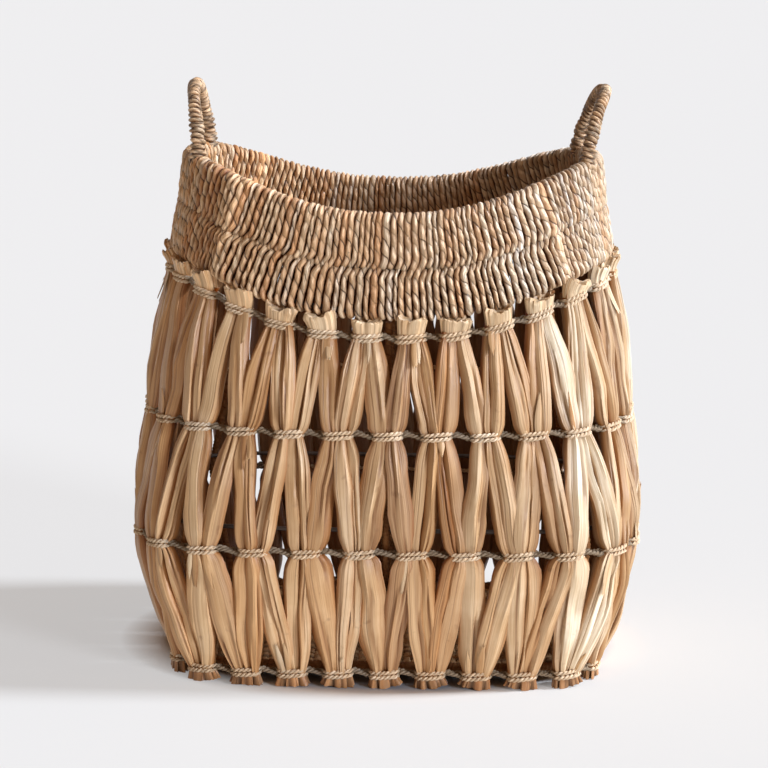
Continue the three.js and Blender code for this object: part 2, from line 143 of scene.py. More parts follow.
# One swept strand: sections (rows of side and out values) set square to the path. A closed
# strand joins up with itself, and an open one gets end caps.
def sweepStrand(path, outward, side, out, tint, girth, closed=False, slip=None, moved=None):
    rows, cols = side.shape
    sideways, outwards, along = framesOn(path, outward, closed)
    vertices = path[:, None] + sideways[:, None] * side[..., None] + outwards[:, None] * out[..., None]
    if slip is not None:
        vertices = vertices + along[:, None] * slip[..., None]
    vertices = vertices.reshape(-1, 3)
    loops = rows if closed else rows - 1
    i, j = np.meshgrid(np.arange(loops), np.arange(cols), indexing="ij")
    nextI, nextJ = (i + 1) % rows, (j + 1) % cols
    corners = [i * cols + j, i * cols + nextJ, nextI * cols + nextJ, nextI * cols + j]
    quads = np.stack(corners, -1).reshape(-1, 4)
    walked = walkedLength(path)
    if closed:
        walked = np.append(walked, walked[-1] + np.linalg.norm(path[0] - path[-1]))
    moved = chance.uniform(0, 3, 2) if moved is None else moved
    u, v = np.arange(cols + 1) / cols * girth, walked
    uvs = np.stack([
        np.stack([u[j], v[i]], -1), np.stack([u[j + 1], v[i]], -1),
        np.stack([u[j + 1], v[i + 1]], -1), np.stack([u[j], v[i + 1]], -1)], -2).reshape(-1, 2) + moved
    triangles, triangleUvs = np.zeros((0, 3), int), np.zeros((0, 2))
    tint = np.broadcast_to(np.asarray(tint, float), (rows, 3)) if np.ndim(tint) < 3 else tint
    colours = np.repeat(tint, cols, axis=0) if tint.ndim == 2 else tint.reshape(-1, 3)
    if not closed:
        end, hubs, around = (rows - 1) * cols, rows * cols, np.arange(cols)
        ahead = (around + 1) % cols
        centres = [vertices[:cols].mean(0), vertices[end:].mean(0)]
        triangles = np.vstack([np.stack([np.full(cols, hubs), ahead, around], -1),
                               np.stack([np.full(cols, hubs + 1), end + around, end + ahead], -1)])
        vertices = np.vstack([vertices, centres])
        colours = np.vstack([colours, colours[0], colours[-1]])
        triangleUvs = vertices[triangles.ravel()][:, :2] + moved
    middle = vertices.mean(0)
    a, b, c, d = (vertices[quads[:, k]] - middle for k in range(4))
    volume = np.sum(np.cross(a, b) * c) + np.sum(np.cross(a, c) * d)
    if volume < 0:
        quads = quads[:, ::-1]
        uvs = uvs.reshape(-1, 4, 2)[:, ::-1].reshape(-1, 2)
        triangles = triangles[:, ::-1]
        triangleUvs = triangleUvs.reshape(-1, 3, 2)[:, ::-1].reshape(-1, 2)
    return {"vertices": vertices, "quads": quads, "triangles": triangles,
            "uvs": np.vstack([uvs, triangleUvs]), "colours": colours}


# A strand of oval section. Its half width and half height are one value each, or one for each
# section or each point.
def sweepTube(path, outward, wide, deep, sides, tint, girth, closed=False):
    angle = anglesRound(sides)
    ones = np.ones((len(path), 1))
    return sweepStrand(path, outward, ones * np.cos(angle) * wide, ones * np.sin(angle) * deep, tint,
                       girth, closed)


# A domed cord's tint, with painted shade that makes it darker and browner in the grooves along its two sides.
def withGrooveShade(shade, dome, look):
    groove = (np.abs(np.cos(dome)) ** look["groovePower"] * look["grooveShadeDepth"])[:, None]
    return shade[:, None] * (1 - groove * np.array(look["groove"]))[None]


# A piece out of swept strands, with its UV map, its tint and its material.
def makePiece(name, strands, material, nodes, creaseAngle=None):
    vertices = np.vstack([s["vertices"] for s in strands])
    start = np.cumsum([0] + [len(s["vertices"]) for s in strands[:-1]])
    corners, sizes, uvs = [], [], []
    for first, s in zip(start, strands):
        corners += [(s["quads"] + first).ravel(), (s["triangles"] + first).ravel()]
        sizes += [np.full(len(s["quads"]), 4), np.full(len(s["triangles"]), 3)]
        uvs.append(s["uvs"])
    corners, sizes, uvs = np.concatenate(corners), np.concatenate(sizes), np.vstack(uvs)
    mesh = bpy.data.meshes.new(name)
    mesh.vertices.add(len(vertices))
    mesh.vertices.foreach_set("co", vertices.ravel())
    mesh.loops.add(len(corners))
    mesh.loops.foreach_set("vertex_index", corners.astype(np.int32))
    mesh.polygons.add(len(sizes))
    mesh.polygons.foreach_set("loop_start", (np.cumsum(sizes) - sizes).astype(np.int32))
    mesh.update(calc_edges=True)
    mesh.polygons.foreach_set("use_smooth", np.ones(len(sizes), bool))
    mesh.uv_layers.new(name="strand").uv.foreach_set("vector", uvs.ravel())
    colours = np.vstack([s["colours"] for s in strands])
    tint = mesh.color_attributes.new(name="tint", type="FLOAT_COLOR", domain="POINT")
    tint.data.foreach_set("color", np.hstack([colours, np.ones((len(colours), 1))]).ravel())
    mesh.validate()
    piece = bpy.data.objects.new(name, mesh)
    bpy.context.scene.collection.objects.link(piece)
    if creaseAngle:
        bpy.ops.object.select_all(action="DESELECT")
        piece.select_set(True)
        bpy.context.view_layer.objects.active = piece
        bpy.ops.object.shade_smooth_by_angle(angle=radians(creaseAngle))
    mesh.materials.append(material)
    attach(piece, "root")
    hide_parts(*nodes)


# Chance and colour

# Smooth wander between -1 and 1 along a strand.
def wander(values, wave, amount=1.0):
    total = np.zeros(len(values))
    for octave in (1.0, 2.1, 3.7):
        total += np.sin(values / wave * octave * 2 * pi + chance.uniform(0, 2 * pi)) / octave
    return total * amount / 1.6


# Straight runs between random bends, for stalks that kink where they were folded.
def bent(walked, spacing, amount):
    knots = np.cumsum(spacing * chance.uniform(0.6, 1.4, int(walked[-1] / spacing) + 4)) - spacing
    return np.interp(walked, knots, chance.uniform(-amount, amount, len(knots)))


# Ripples round a cut end, the same at every height: sums of a few waves.
def ripple(angle, waves, amount):
    total = sum(np.cos(wave * angle + chance.uniform(0, 6)) for wave in waves)
    return amount * total / len(waves)


def linear(red, green, blue):
    srgb = np.array([red, green, blue]) / 255
    return np.where(srgb <= 0.04045, srgb / 12.92, ((srgb + 0.055) / 1.055) ** 2.4)


def pickFrom(palette):
    tones, shares = zip(*palette)
    return linear(*tones[chance.choice(len(tones), p=shares)])


# Painted light and shade: the fibre is paler towards the +X end of the basket, where the key lamp shines, and
# browner towards the other end, which lies in shade.
def paintedSideLight(tone, share, browner=1.5, paler=1.6):
    reach = pointOn(ring["belly"], share)[0] / ring["belly"]["halfWidth"]
    reach *= paler if reach > 0 else browner
    return tone * (1 + reach * np.array([0.0, 0.065, 0.15]))


# Nodes and node groups

def addNode(tree, kind, inputs=None, **settings):
    made = tree.nodes.new(kind)
    for key, value in settings.items():
        setattr(made, key, value)
    for key, value in (inputs or {}).items():
        if isinstance(value, bpy.types.NodeSocket):
            tree.links.new(value, made.inputs[key])
        else:
            made.inputs[key].default_value = value
    return made


def rampOf(tree, value, stops):
    ramp = addNode(tree, "ShaderNodeValToRGB", {"Fac": value})
    elements = ramp.color_ramp.elements
    while len(elements) < len(stops):
        elements.new(0.5)
    for element, (position, shade) in zip(elements, stops):
        element.position = position
        element.color = (*shade, 1)
    return ramp.outputs["Color"]


def mixColours(tree, factor, a, b, blend="MIX"):
    mix = addNode(tree, "ShaderNodeMix", data_type="RGBA", blend_type=blend)
    for name, kind, value in (("Factor", "VALUE", factor), ("A", "RGBA", a), ("B", "RGBA", b)):
        socket = next(s for s in mix.inputs if s.name == name and s.type == kind)
        if isinstance(value, bpy.types.NodeSocket):
            tree.links.new(value, socket)
        else:
            socket.default_value = value if kind == "VALUE" else (*value, 1)
    return next(s for s in mix.outputs if s.type == "RGBA")


def maths(tree, operation, a, b=0.0, clamp=False):
    made = addNode(tree, "ShaderNodeMath", {0: a, 1: b}, operation=operation, use_clamp=clamp)
    return made.outputs["Value"]


def times(tree, a, b, clamp=False):
    return maths(tree, "MULTIPLY", a, b, clamp)


def setBump(tree, shader, height, distance):
    bump = addNode(tree, "ShaderNodeBump", {"Height": height, "Distance": distance, "Strength": 1.0})
    tree.links.new(bump.outputs["Normal"], shader.inputs["Normal"])


# A node group that takes a vector and some values and puts out some values.
def newGroup(name, values, results):
    group = bpy.data.node_groups.new(name, "ShaderNodeTree")
    group.interface.new_socket("Vector", in_out="INPUT", socket_type="NodeSocketVector")
    for label, value in values.items():
        socket = group.interface.new_socket(label, in_out="INPUT", socket_type="NodeSocketFloat")
        socket.default_value = value
    for label in results:
        group.interface.new_socket(label, in_out="OUTPUT", socket_type="NodeSocketFloat")
    given = group.nodes.new("NodeGroupInput")
    return group, given.outputs, group.nodes.new("NodeGroupOutput").inputs


# Long fibres along a strand: fine grain, broad bands, and thin dark creases.
def makeFibreGroup():
    group, given, result = newGroup(
        "fibreGrain", {"Fine": 1100.0, "Broad": 260.0, "Stretch": 0.02}, ["Grain", "Bands", "Crease"])
    apart = addNode(group, "ShaderNodeSeparateXYZ", {0: given["Vector"]}).outputs
    fields = []
    for scale, longer, detail in (("Fine", 1.0, 3.0), ("Broad", 1.4, 2.0), ("Broad", 0.55, 1.0)):
        x = times(group, apart["X"], given[scale])
        y = times(group, times(group, apart["Y"], given[scale]), times(group, given["Stretch"], longer))
        spot = addNode(group, "ShaderNodeCombineXYZ", {"X": x, "Y": y, "Z": longer * 7})
        noise = addNode(group, "ShaderNodeTexNoise", {
            "Vector": spot.outputs[0], "Scale": 1.0, "Detail": detail, "Roughness": 0.6})
        fields.append(noise.outputs["Fac"])
    fromMiddle = maths(group, "ABSOLUTE", maths(group, "SUBTRACT", fields[2], 0.5))
    crease = maths(group, "SUBTRACT", 1.0, times(group, fromMiddle, 45.0), clamp=True)
    group.links.new(fields[0], result["Grain"])
    group.links.new(fields[1], result["Bands"])
    group.links.new(crease, result["Crease"])
    return group


# Blotches and small stains over a whole piece.
def makeStainGroup():
    group, given, result = newGroup("stains", {"Scale": 60.0, "Amount": 0.5}, ["Blotch", "Speck"])
    blotch = addNode(group, "ShaderNodeTexNoise", {
        "Vector": given["Vector"], "Scale": given["Scale"], "Detail": 4.0})
    speck = addNode(group, "ShaderNodeTexNoise", {
        "Vector": given["Vector"], "Scale": times(group, given["Scale"], 5.0), "Detail": 2.0})
    speckMask = maths(group, "SUBTRACT", speck.outputs["Fac"], 0.67, clamp=True)
    speckMask = times(group, speckMask, 9.0, clamp=True)
    group.links.new(times(group, blotch.outputs["Fac"], given["Amount"]), result["Blotch"])
    group.links.new(times(group, speckMask, given["Amount"]), result["Speck"])
    return group


# The lay of a twisted strand: one dark line of painted shade, in the crevice between its plies, that winds
# round it, from its UV map, and that fades out here and there.
def makeLayGroup():
    group, given, result = newGroup(
        "twistLay", {"Girth": cordGirth, "Lay": cordLay, "Width": 0.1}, ["Line", "Round"])
    apart = addNode(group, "ShaderNodeSeparateXYZ", {0: given["Vector"]}).outputs
    around = maths(group, "DIVIDE", apart["X"], given["Girth"])
    along = maths(group, "DIVIDE", apart["Y"], given["Lay"])
    wobble = addNode(group, "ShaderNodeTexNoise", {"Vector": given["Vector"], "Scale": 90.0, "Detail": 1.0})
    phase = maths(group, "ADD", maths(group, "ADD", around, along), times(group, wobble.outputs["Fac"], 0.7))
    saw = maths(group, "ABSOLUTE", maths(group, "SUBTRACT", maths(group, "FRACT", phase), 0.5))
    line = maths(group, "SUBTRACT", 1.0, maths(group, "DIVIDE", saw, given["Width"]), clamp=True)
    gone = addNode(group, "ShaderNodeTexNoise", {"Vector": given["Vector"], "Scale": 34.0, "Detail": 0.0})
    shown = addNode(group, "ShaderNodeMapRange", {
        "Value": gone.outputs["Fac"], "From Min": 0.44, "From Max": 0.6, "To Min": 0.15, "To Max": 1.0})
    group.links.new(times(group, line, shown.outputs["Result"]), result["Line"])
    group.links.new(maths(group, "SQRT", times(group, saw, 2.0)), result["Round"])
    return group


groups = {"fibre": makeFibreGroup(), "stain": makeStainGroup(), "lay": makeLayGroup()}


def placeGroup(tree, name, inputs):
    return addNode(tree, "ShaderNodeGroup", inputs, node_tree=groups[name]).outputs


# Materials

def newMaterial(name, roughness, metallic=0.0, specular=0.5):
    material = bpy.data.materials.new(name)
    material.use_nodes = True
    tree = material.node_tree
    shader = tree.nodes["Principled BSDF"]
    shader.inputs["Roughness"].default_value = roughness
    shader.inputs["Metallic"].default_value = metallic
    shader.inputs["Specular IOR Level"].default_value = specular
    return material, tree, shader


# Plant fibre in its several finishes: stalk, twine, cord and mat differ only in their values.
def makeFibreMaterial(name, look):
    material, tree, shader = newMaterial(name, look["roughness"], specular=look["specular"])
    uv = addNode(tree, "ShaderNodeUVMap", uv_map="strand").outputs["UV"]
    place = addNode(tree, "ShaderNodeTexCoord").outputs["Object"]
    colour = addNode(tree, "ShaderNodeAttribute", attribute_name="tint").outputs["Color"]
    fibre = placeGroup(tree, "fibre", {
        "Vector": uv, "Fine": look["fine"], "Broad": look["broad"], "Stretch": look["stretch"]})
    stain = placeGroup(tree, "stain", {"Vector": place, "Scale": look["stainScale"], "Amount": look["stain"]})
    for value, stops in (
            (fibre["Grain"], [(0.3, look["grainDark"]), (0.72, look["grainLight"])]),
            (fibre["Bands"], [(0.28, look["bandDark"]), (0.5, (1, 1, 1)), (0.75, look["bandLight"])]),
            (stain["Blotch"], [(0.18, (1.06, 1.06, 1.05)), (0.42, look["blotch"])])):
        colour = mixColours(tree, 1.0, colour, rampOf(tree, value, stops), "MULTIPLY")
    for mask, amount in ((fibre["Crease"], look["crease"]), (stain["Speck"], look["speck"])):
        colour = mixColours(tree, times(tree, mask, amount), colour, look["creaseColour"])
    height = maths(tree, "SUBTRACT", times(tree, fibre["Grain"], look["grainHeight"]),
                   times(tree, fibre["Crease"], look["creaseHeight"]))
    # The lay line is painted shade in the crevice between a strand's plies.
    if look.get("lay"):
        lay = placeGroup(tree, "lay", {
            "Vector": uv, "Girth": look["girth"], "Lay": look["lay"], "Width": look["layWidth"]})
        colour = mixColours(tree, times(tree, lay["Line"], look["layShade"]), colour, look["creaseColour"])
        height = maths(tree, "ADD", height, times(tree, lay["Round"], look["layHeight"]))
    tree.links.new(colour, shader.inputs["Base Color"])
    spread = look["roughSpread"]
    rough = maths(tree, "ADD", times(tree, fibre["Grain"], spread), look["roughness"] - spread / 2)
    tree.links.new(rough, shader.inputs["Roughness"])
    setBump(tree, shader, height, look["bump"])
    return material


plainFibre = {
    "roughness": 0.38, "specular": 0.34, "roughSpread": 0.24,
    "fine": 1100.0, "broad": 130.0, "stretch": 0.014,
    "grainDark": (0.77, 0.68, 0.59), "grainLight": (1.06, 1.07, 1.08),
    "bandDark": (0.9, 0.8, 0.69), "bandLight": (1.07, 1.09, 1.12),
    "stainScale": 18.0, "stain": 0.8, "speck": 0.45, "blotch": (0.84, 0.75, 0.64),
    "crease": 0.36, "creaseColour": linear(104, 58, 28),
    "grainHeight": 0.8, "creaseHeight": 0.5, "bump": 0.0006,
}
twineLook = {
    "roughness": 0.8, "specular": 0.2, "fine": 2600.0, "broad": 900.0, "stretch": 0.05,
    "crease": 0.3, "speck": 0.2, "bump": 0.0004,
}
cordLook = {
    "roughness": 0.44, "specular": 0.4, "broad": 420.0, "stretch": 0.05,
    "stainScale": 60.0, "stain": 0.9, "speck": 0.7, "blotch": (0.8, 0.69, 0.58),
    "crease": 0.3, "creaseColour": linear(74, 44, 26), "bump": 0.0010,
    "lay": cordLay, "girth": cordGirth, "layWidth": 0.11, "layShade": 1.0, "layHeight": 2.4,
}
wrapLook = {
    "roughness": 0.75, "specular": 0.25, "fine": 2600.0, "broad": 800.0, "stretch": 0.08,
    "crease": 0.4, "bump": 0.0005,
    "lay": 0.008, "girth": wrapGirth, "layWidth": 0.12, "layShade": 0.7, "layHeight": 0.9,
}
matLook = {"roughness": 0.72, "specular": 0.25, "fine": 1600.0, "broad": 420.0, "stretch": 0.03}

stalkMaterial = makeFibreMaterial("driedStalk", plainFibre)
twineMaterial = makeFibreMaterial("paleTwine", {**plainFibre, **twineLook})
cordMaterial = makeFibreMaterial("woundCord", {**plainFibre, **cordLook})
wrapMaterial = makeFibreMaterial("frameWrap", {**plainFibre, **wrapLook})
matMaterial = makeFibreMaterial("wovenMat", {**plainFibre, **matLook})


def makeWireMaterial():
    material, tree, shader = newMaterial("paintedWire", 0.45, metallic=0.3)
    place = addNode(tree, "ShaderNodeTexCoord").outputs["Object"]
    stain = placeGroup(tree, "stain", {"Vector": place, "Scale": 45.0, "Amount": 1.0})
    colour = rampOf(tree, stain["Blotch"], [(0.3, linear(76, 64, 56)), (0.7, linear(118, 104, 94))])
    tree.links.new(colour, shader.inputs["Base Color"])
    rough = maths(tree, "ADD", times(tree, stain["Blotch"], 0.25), 0.32)
    tree.links.new(rough, shader.inputs["Roughness"])
    setBump(tree, shader, stain["Speck"], 0.0002)
    return material


wireMaterial = makeWireMaterial()
print("materials made")


# The stalk bundles: the size of a tied neck, and for each span between two tie rows how wide
# and thick a half bundle is there and over what part of the span it opens and closes.
bundles = {
    "neckWidth": 0.0222, "neckThickness": 0.0130, "bulge": 0.0035, "tuck": 0.004,
    "stations": 22, "openPower": 1.7, "nearTie": 0.009,
    "spans": [{"width": 0.0204, "thick": 0.0145, "opens": (0.35, 0.6), "closes": (0.08, 0.16)},
              {"width": 0.0214, "thick": 0.0150, "opens": (0.14, 0.32), "closes": (0.1, 0.2)},
              {"width": 0.0238, "thick": 0.0160, "opens": (0.09, 0.18), "closes": (0.3, 0.5)}],
    "palette": [((219, 190, 151), 0.36), ((232, 210, 177), 0.3), ((214, 178, 133), 0.13),
                ((194, 149, 102), 0.09), ((237, 219, 188), 0.12)],
}


# Stations of a half bundle from its head down: which two tie rows each lies between, how far
# down, how wide and thick the half is there, and how near the next tie is.
def stationsOfHalf():
    width, thick, power = bundles["neckWidth"] / 2, bundles["neckThickness"], bundles["openPower"]
    rows = [(-1, part, width, thick, 1.0) for part in (1, 0.5)]
    for span, shape in enumerate(bundles["spans"]):
        opens, closes = chance.uniform(*shape["opens"]), chance.uniform(*shape["closes"])
        wider = shape["width"] * chance.uniform(0.9, 1.1) - width
        thicker = shape["thick"] - thick
        length = tieRings[span]["height"] - tieRings[span + 1]["height"]
        for part in (1 - np.cos(np.linspace(0, pi, bundles["stations"], endpoint=False))) / 2:
            opened = 1 - (1 - min(1, part / opens)) ** power
            closed = 1 - (1 - min(1, (1 - part) / closes)) ** power
            full = opened * closed
            near = np.exp(-min(part, 1 - part) * length / bundles["nearTie"])
            rows.append((span, part, width + wider * full, thick + thicker * full, near))
    rows += [(3, part, width, thick, 1.0) for part in (0, 0.5, 1)]
    return np.array(rows)


# The middle line of a half bundle. It swings from its own neck at tie rows 1 and 3 to the neck
# that it shares with the next bundle's half at rows 2 and 4.
def halfBundle(index, side):
    rows = stationsOfHalf()
    span, part = rows[:, 0], rows[:, 1]
    own = (index + 0.5) / bundleCount
    shared = own + side * 0.5 / bundleCount
    half = bundles["neckWidth"] / 4
    shares = [own, shared, own, shared]
    leans = [side * half, -side * half, side * half, -side * half]
    path, tangent, normal = (np.zeros((len(rows), 3)) for _ in range(3))
    for k, name in enumerate((-1, 0, 1, 2, 3)):
        chosen = span == name
        a, b = max(k - 1, 0), min(k, 3)
        p = part[chosen] if k in (1, 2, 3) else np.zeros(chosen.sum())
        share = shares[a] + (shares[b] - shares[a]) * p
        lean = leans[a] + (leans[b] - leans[a]) * p
        spot, along, out = placeBetween(tieRings[a], tieRings[b], share, p)
        bulge = bundles["bulge"] * np.sin(pi * p) * (1 + 0.3 * chance.uniform(-1, 1))
        spot = spot + along * lean[:, None] + out * bulge[:, None]
        if k in (0, 4):
            spot += up * (bundles["tuck"] * (1 if k == 0 else -1) * part[chosen])[:, None]
        path[chosen], tangent[chosen], normal[chosen] = spot, along, out
    return rows, path, tangent, normal


# The stalks in a half bundle. Each bend gives the spacing of its kinks and their size, each
# wander its wave's length and its size, and each tint works on red, green and blue by so much.
stalk = {
    "counts": [1, 1, 1, 2, 2, 2, 3], "uneven": 0.13, "lap": 0.12, "deep": (0.78, 0.95), "layered": 0.0018,
    "sides": 28, "facets": (4, 7), "pleats": 7, "pleatDeep": 0.07, "creaseAngle": 31,
    "creases": [0, 1, 1, 2], "creaseSpot": (0.22, 0.78), "creaseWide": 0.15, "creaseDeep": 0.32,
    "wideBend": (0.027, 0.16), "deepBend": (0.03, 0.24), "acrossBend": (0.04, 0.0016),
    "raisedBend": (0.034, 0.0024), "creaseDark": 0.66, "creaseTint": (0.9, 1.2, 1.5),
    "innerShade": (0.64, 0.75, 0.82), "shadeTint": (0.76, 1.13, 1.4), "edgeShade": 0.5, "tieShade": 0.28,
    "lowestBounceLight": 1.14, "otherTone": 0.8, "driftWander": (0.3, 0.5), "edgeWander": (0.25, 0.06),
    "turnWander": (0.35, 0.3), "creaseWander": (0.3, 0.16), "gapeWander": (0.22, 1.0), "girthShare": 2.4,
}


# The section along a stalk: a polygon that turns slowly, pleated near the ties and cut by open
# creases, and the shade that those creases leave.
def facetedSection(walked, near, angle, moreCreases):
    corners = int(chance.integers(*stalk["facets"]))
    turned = angle[None] + wander(walked, *stalk["turnWander"])[:, None] + chance.uniform(0, 6)
    facet = np.cos(pi / corners) / np.cos(turned % (2 * pi / corners) - pi / corners)
    shape = 0.12 + 0.88 * facet * (1 + 0.07 * (corners == 4) + 0.1)
    pleats = np.cos(stalk["pleats"] * angle[None] + chance.uniform(0, 6))
    shape = shape * (1 + near * stalk["pleatDeep"] * pleats)
    shade = np.ones_like(shape)
    for _ in range(int(chance.choice(stalk["creases"])) + moreCreases):
        spot = chance.uniform(*stalk["creaseSpot"]) * pi + wander(walked, *stalk["creaseWander"])
        gaping = np.clip(wander(walked, *stalk["gapeWander"]) + 0.45, 0, 1)[:, None]
        cut = np.exp(-((angle[None] - spot[:, None]) / stalk["creaseWide"]) ** 2) * gaping
        shape = shape - stalk["creaseDeep"] * cut
        shade = shade * (1 - stalk["creaseDark"] * cut)
    return shape, shade


# A stalk's tint drifts along it. Painted shade browns it near the ties, at its edges and in its creases, and
# darkens it on the basket's inside; painted bounce light from the floor makes its lowest span paler.
def tintOfStalk(tone, walked, rows, angle, shade):
    drift = 0.9 + 0.2 * (wander(walked, *stalk["driftWander"]) * 0.5 + 0.5)
    drift = drift * np.where(rows[:, 0] == 2, stalk["lowestBounceLight"], 1.0)
    inner, edge = np.clip(-np.sin(angle), 0, 1) ** 0.7, np.abs(np.cos(angle)) ** 4
    paintedShade = stalk["edgeShade"] * edge[None] + stalk["tieShade"] * rows[:, 4:5] ** 2
    tint = tone * drift[:, None, None] * shade[..., None] ** np.array(stalk["creaseTint"])
    tint = tint * (1 - inner[None, :, None] * np.array(stalk["innerShade"]))
    return tint * (1 - paintedShade[..., None] * np.array(stalk["shadeTint"])).clip(0.02)


# The stalks of one half: one to three flattened, faceted tubes side by side, which share the
# half's width, lap a little and wander along it.
def stalksOfHalf(index, side):
    rows, path, tangent, normal = halfBundle(index, side)
    width, thickness, near = rows[:, 2], rows[:, 3], rows[:, 4:5]
    walked = walkedLength(path)
    count = int(chance.choice(stalk["counts"]))
    cuts = np.linspace(-0.5, 0.5, count + 1)
    cuts[1:-1] += chance.uniform(-stalk["uneven"], stalk["uneven"], count - 1)
    front = chance.permutation(count)
    base = pickFrom(bundles["palette"])
    angle = anglesRound(stalk["sides"])
    loose = 1 - near[:, 0]
    strands = []
    for k in range(count):
        left = cuts[k] + (wander(walked, *stalk["edgeWander"]) if k else 0)
        right = cuts[k + 1] + (wander(walked, *stalk["edgeWander"]) if k < count - 1 else 0)
        wide = (right - left + (stalk["lap"] if count > 1 else 0)) * width
        deep = thickness * (1.0 if count == 1 else chance.uniform(*stalk["deep"]))
        shape, shade = facetedSection(walked, near, angle, int(count == 1))
        wide = wide * (1 + loose * bent(walked, *stalk["wideBend"]))
        deep = deep * (1 + loose * bent(walked, *stalk["deepBend"]))
        sideBy = np.cos(angle)[None] * wide[:, None] / 2 * shape
        outBy = np.sin(angle)[None] * deep[:, None] / 2 * shape
        across = (left + right) / 2 * width + loose * bent(walked, *stalk["acrossBend"])
        raised = (front[k] - (count - 1) / 2) * stalk["layered"]
        raised = raised + loose * bent(walked, *stalk["raisedBend"])
        centre = path + tangent * across[:, None] + normal * raised[:, None]
        tone = base + (pickFrom(bundles["palette"]) - base) * chance.uniform(0, stalk["otherTone"])
        tone = paintedSideLight(tone, (index + 0.5) / bundleCount)
        tint = tintOfStalk(tone, walked, rows, angle, shade)
        girth = float(np.mean(wide)) * stalk["girthShare"]
        strands.append(sweepStrand(centre, normal, sideBy, outBy, tint, girth))
    return strands


# The section of a head or a tail: an oblong with round corners, rippled by its folds.
def oblong(angle, wide, deep, folds):
    across, along = np.cos(angle), np.sin(angle)
    side = np.sign(across) * np.abs(across) ** 0.8 * wide[:, None] / 2 * folds
    out = np.sign(along) * np.abs(along) ** 0.8 * deep[:, None] / 2 * folds
    return side, out


# The heads. Folds, tears and streaks are ripples: how many waves go round, and their size.
crown = {
    "rise": 0.0172, "rises": (0.84, 1.12), "flare": 1.27, "flares": (0.88, 1.06), "deep": 0.0150,
    "tilt": 0.005, "leansOut": (0.0028, 0.0052), "sides": 52, "girth": 0.07, "notch": 0.2,
    "folds": ((3, 5), 0.05), "pleats": ((9, 13, 17), 0.1), "cut": ((2, 3), 0.0018),
    "tears": ((7, 11, 16), 0.0016), "streaks": ((6, 10, 15, 21), 0.42),
    "tone": (232, 210, 177), "paler": 1.1, "cutTone": (236, 212, 176), "cutFade": (0.95, 0.85, 0.6),
    "tiedDark": 0.7,
}


# A head above the first tie row: the stalks' ends drawn into one flared crown, cut off
# raggedly, with a dished face of paler pith.
def crownOf(index):
    own = (index + 0.5) / bundleCount
    spot, tangent, normal = (value[0] for value in placeOn(ring["head"], own))
    steps = np.array([-0.12, 0.08, 0.25, 0.45, 0.65, 0.82, 0.94, 1.0, 1.01, 1.02, 1.03])
    inside = np.array([1, 1, 1, 1, 1, 1, 1, 0.97, 0.84, 0.6, 0.25])
    drop = np.array([0, 0, 0, 0, 0, 0, 0, 0, 0.0012, 0.0026, 0.0034])
    grown = np.clip(steps, 0, 1)
    tilt = chance.uniform(-crown["tilt"], crown["tilt"])
    path = spot + np.outer(steps * crown["rise"] * chance.uniform(*crown["rises"]), up)
    path += np.outer(grown ** 2 * tilt, tangent)
    path += np.outer(grown ** 2 * chance.uniform(*crown["leansOut"]), normal)
    angle = anglesRound(crown["sides"])
    flare = crown["flare"] * chance.uniform(*crown["flares"]) - 1
    wide = bundles["neckWidth"] * (1 + flare * grown ** 0.75) * inside
    deep = (bundles["neckThickness"] + (crown["deep"] - bundles["neckThickness"]) * grown) * inside
    ripples = ripple(angle, *crown["folds"]) + ripple(angle, *crown["pleats"])
    folds = 1 + (0.25 + 0.75 * grown)[:, None] * ripples[None]
    notches = np.abs(np.cos(2.5 * angle + chance.uniform(0, 6)))[None] ** 14
    folds = folds - grown[:, None] * crown["notch"] * notches
    ragged = ripple(angle, *crown["cut"]) + ripple(angle, *crown["tears"])
    slip = grown[:, None] ** 3 * ragged[None] - drop[:, None]
    tone = (pickFrom(bundles["palette"]) + 2 * linear(*crown["tone"])) / 3 * crown["paler"]
    streak = 1 + ripple(angle, *crown["streaks"])
    tint = paintedSideLight(tone, own)[None, None] * streak[None, :, None] * np.ones((len(steps), 1, 1))
    tint[-3:] = linear(*crown["cutTone"]) * np.array(crown["cutFade"])[:, None, None] * streak[None, :, None]
    tint[0] *= crown["tiedDark"]
    side, out = oblong(angle, wide, deep, folds)
    return sweepStrand(path, np.tile(normal, (len(steps), 1)), side, out, tint, crown["girth"], slip=slip)


tail = {
    "flare": 1.42, "flares": (0.94, 1.06), "deep": 0.0150, "tilt": 0.0015, "sides": 52, "girth": 0.07,
    "floorGap": 0.0004, "folds": ((4, 9, 15), 0.07), "tears": ((3, 7, 12), 0.0016),
    "streaks": ((6, 10, 15, 21), 0.6), "splitDeep": 0.33, "splitShade": 0.85,
    "tone": (192, 147, 103), "shades": (0.85, 1.15),
}
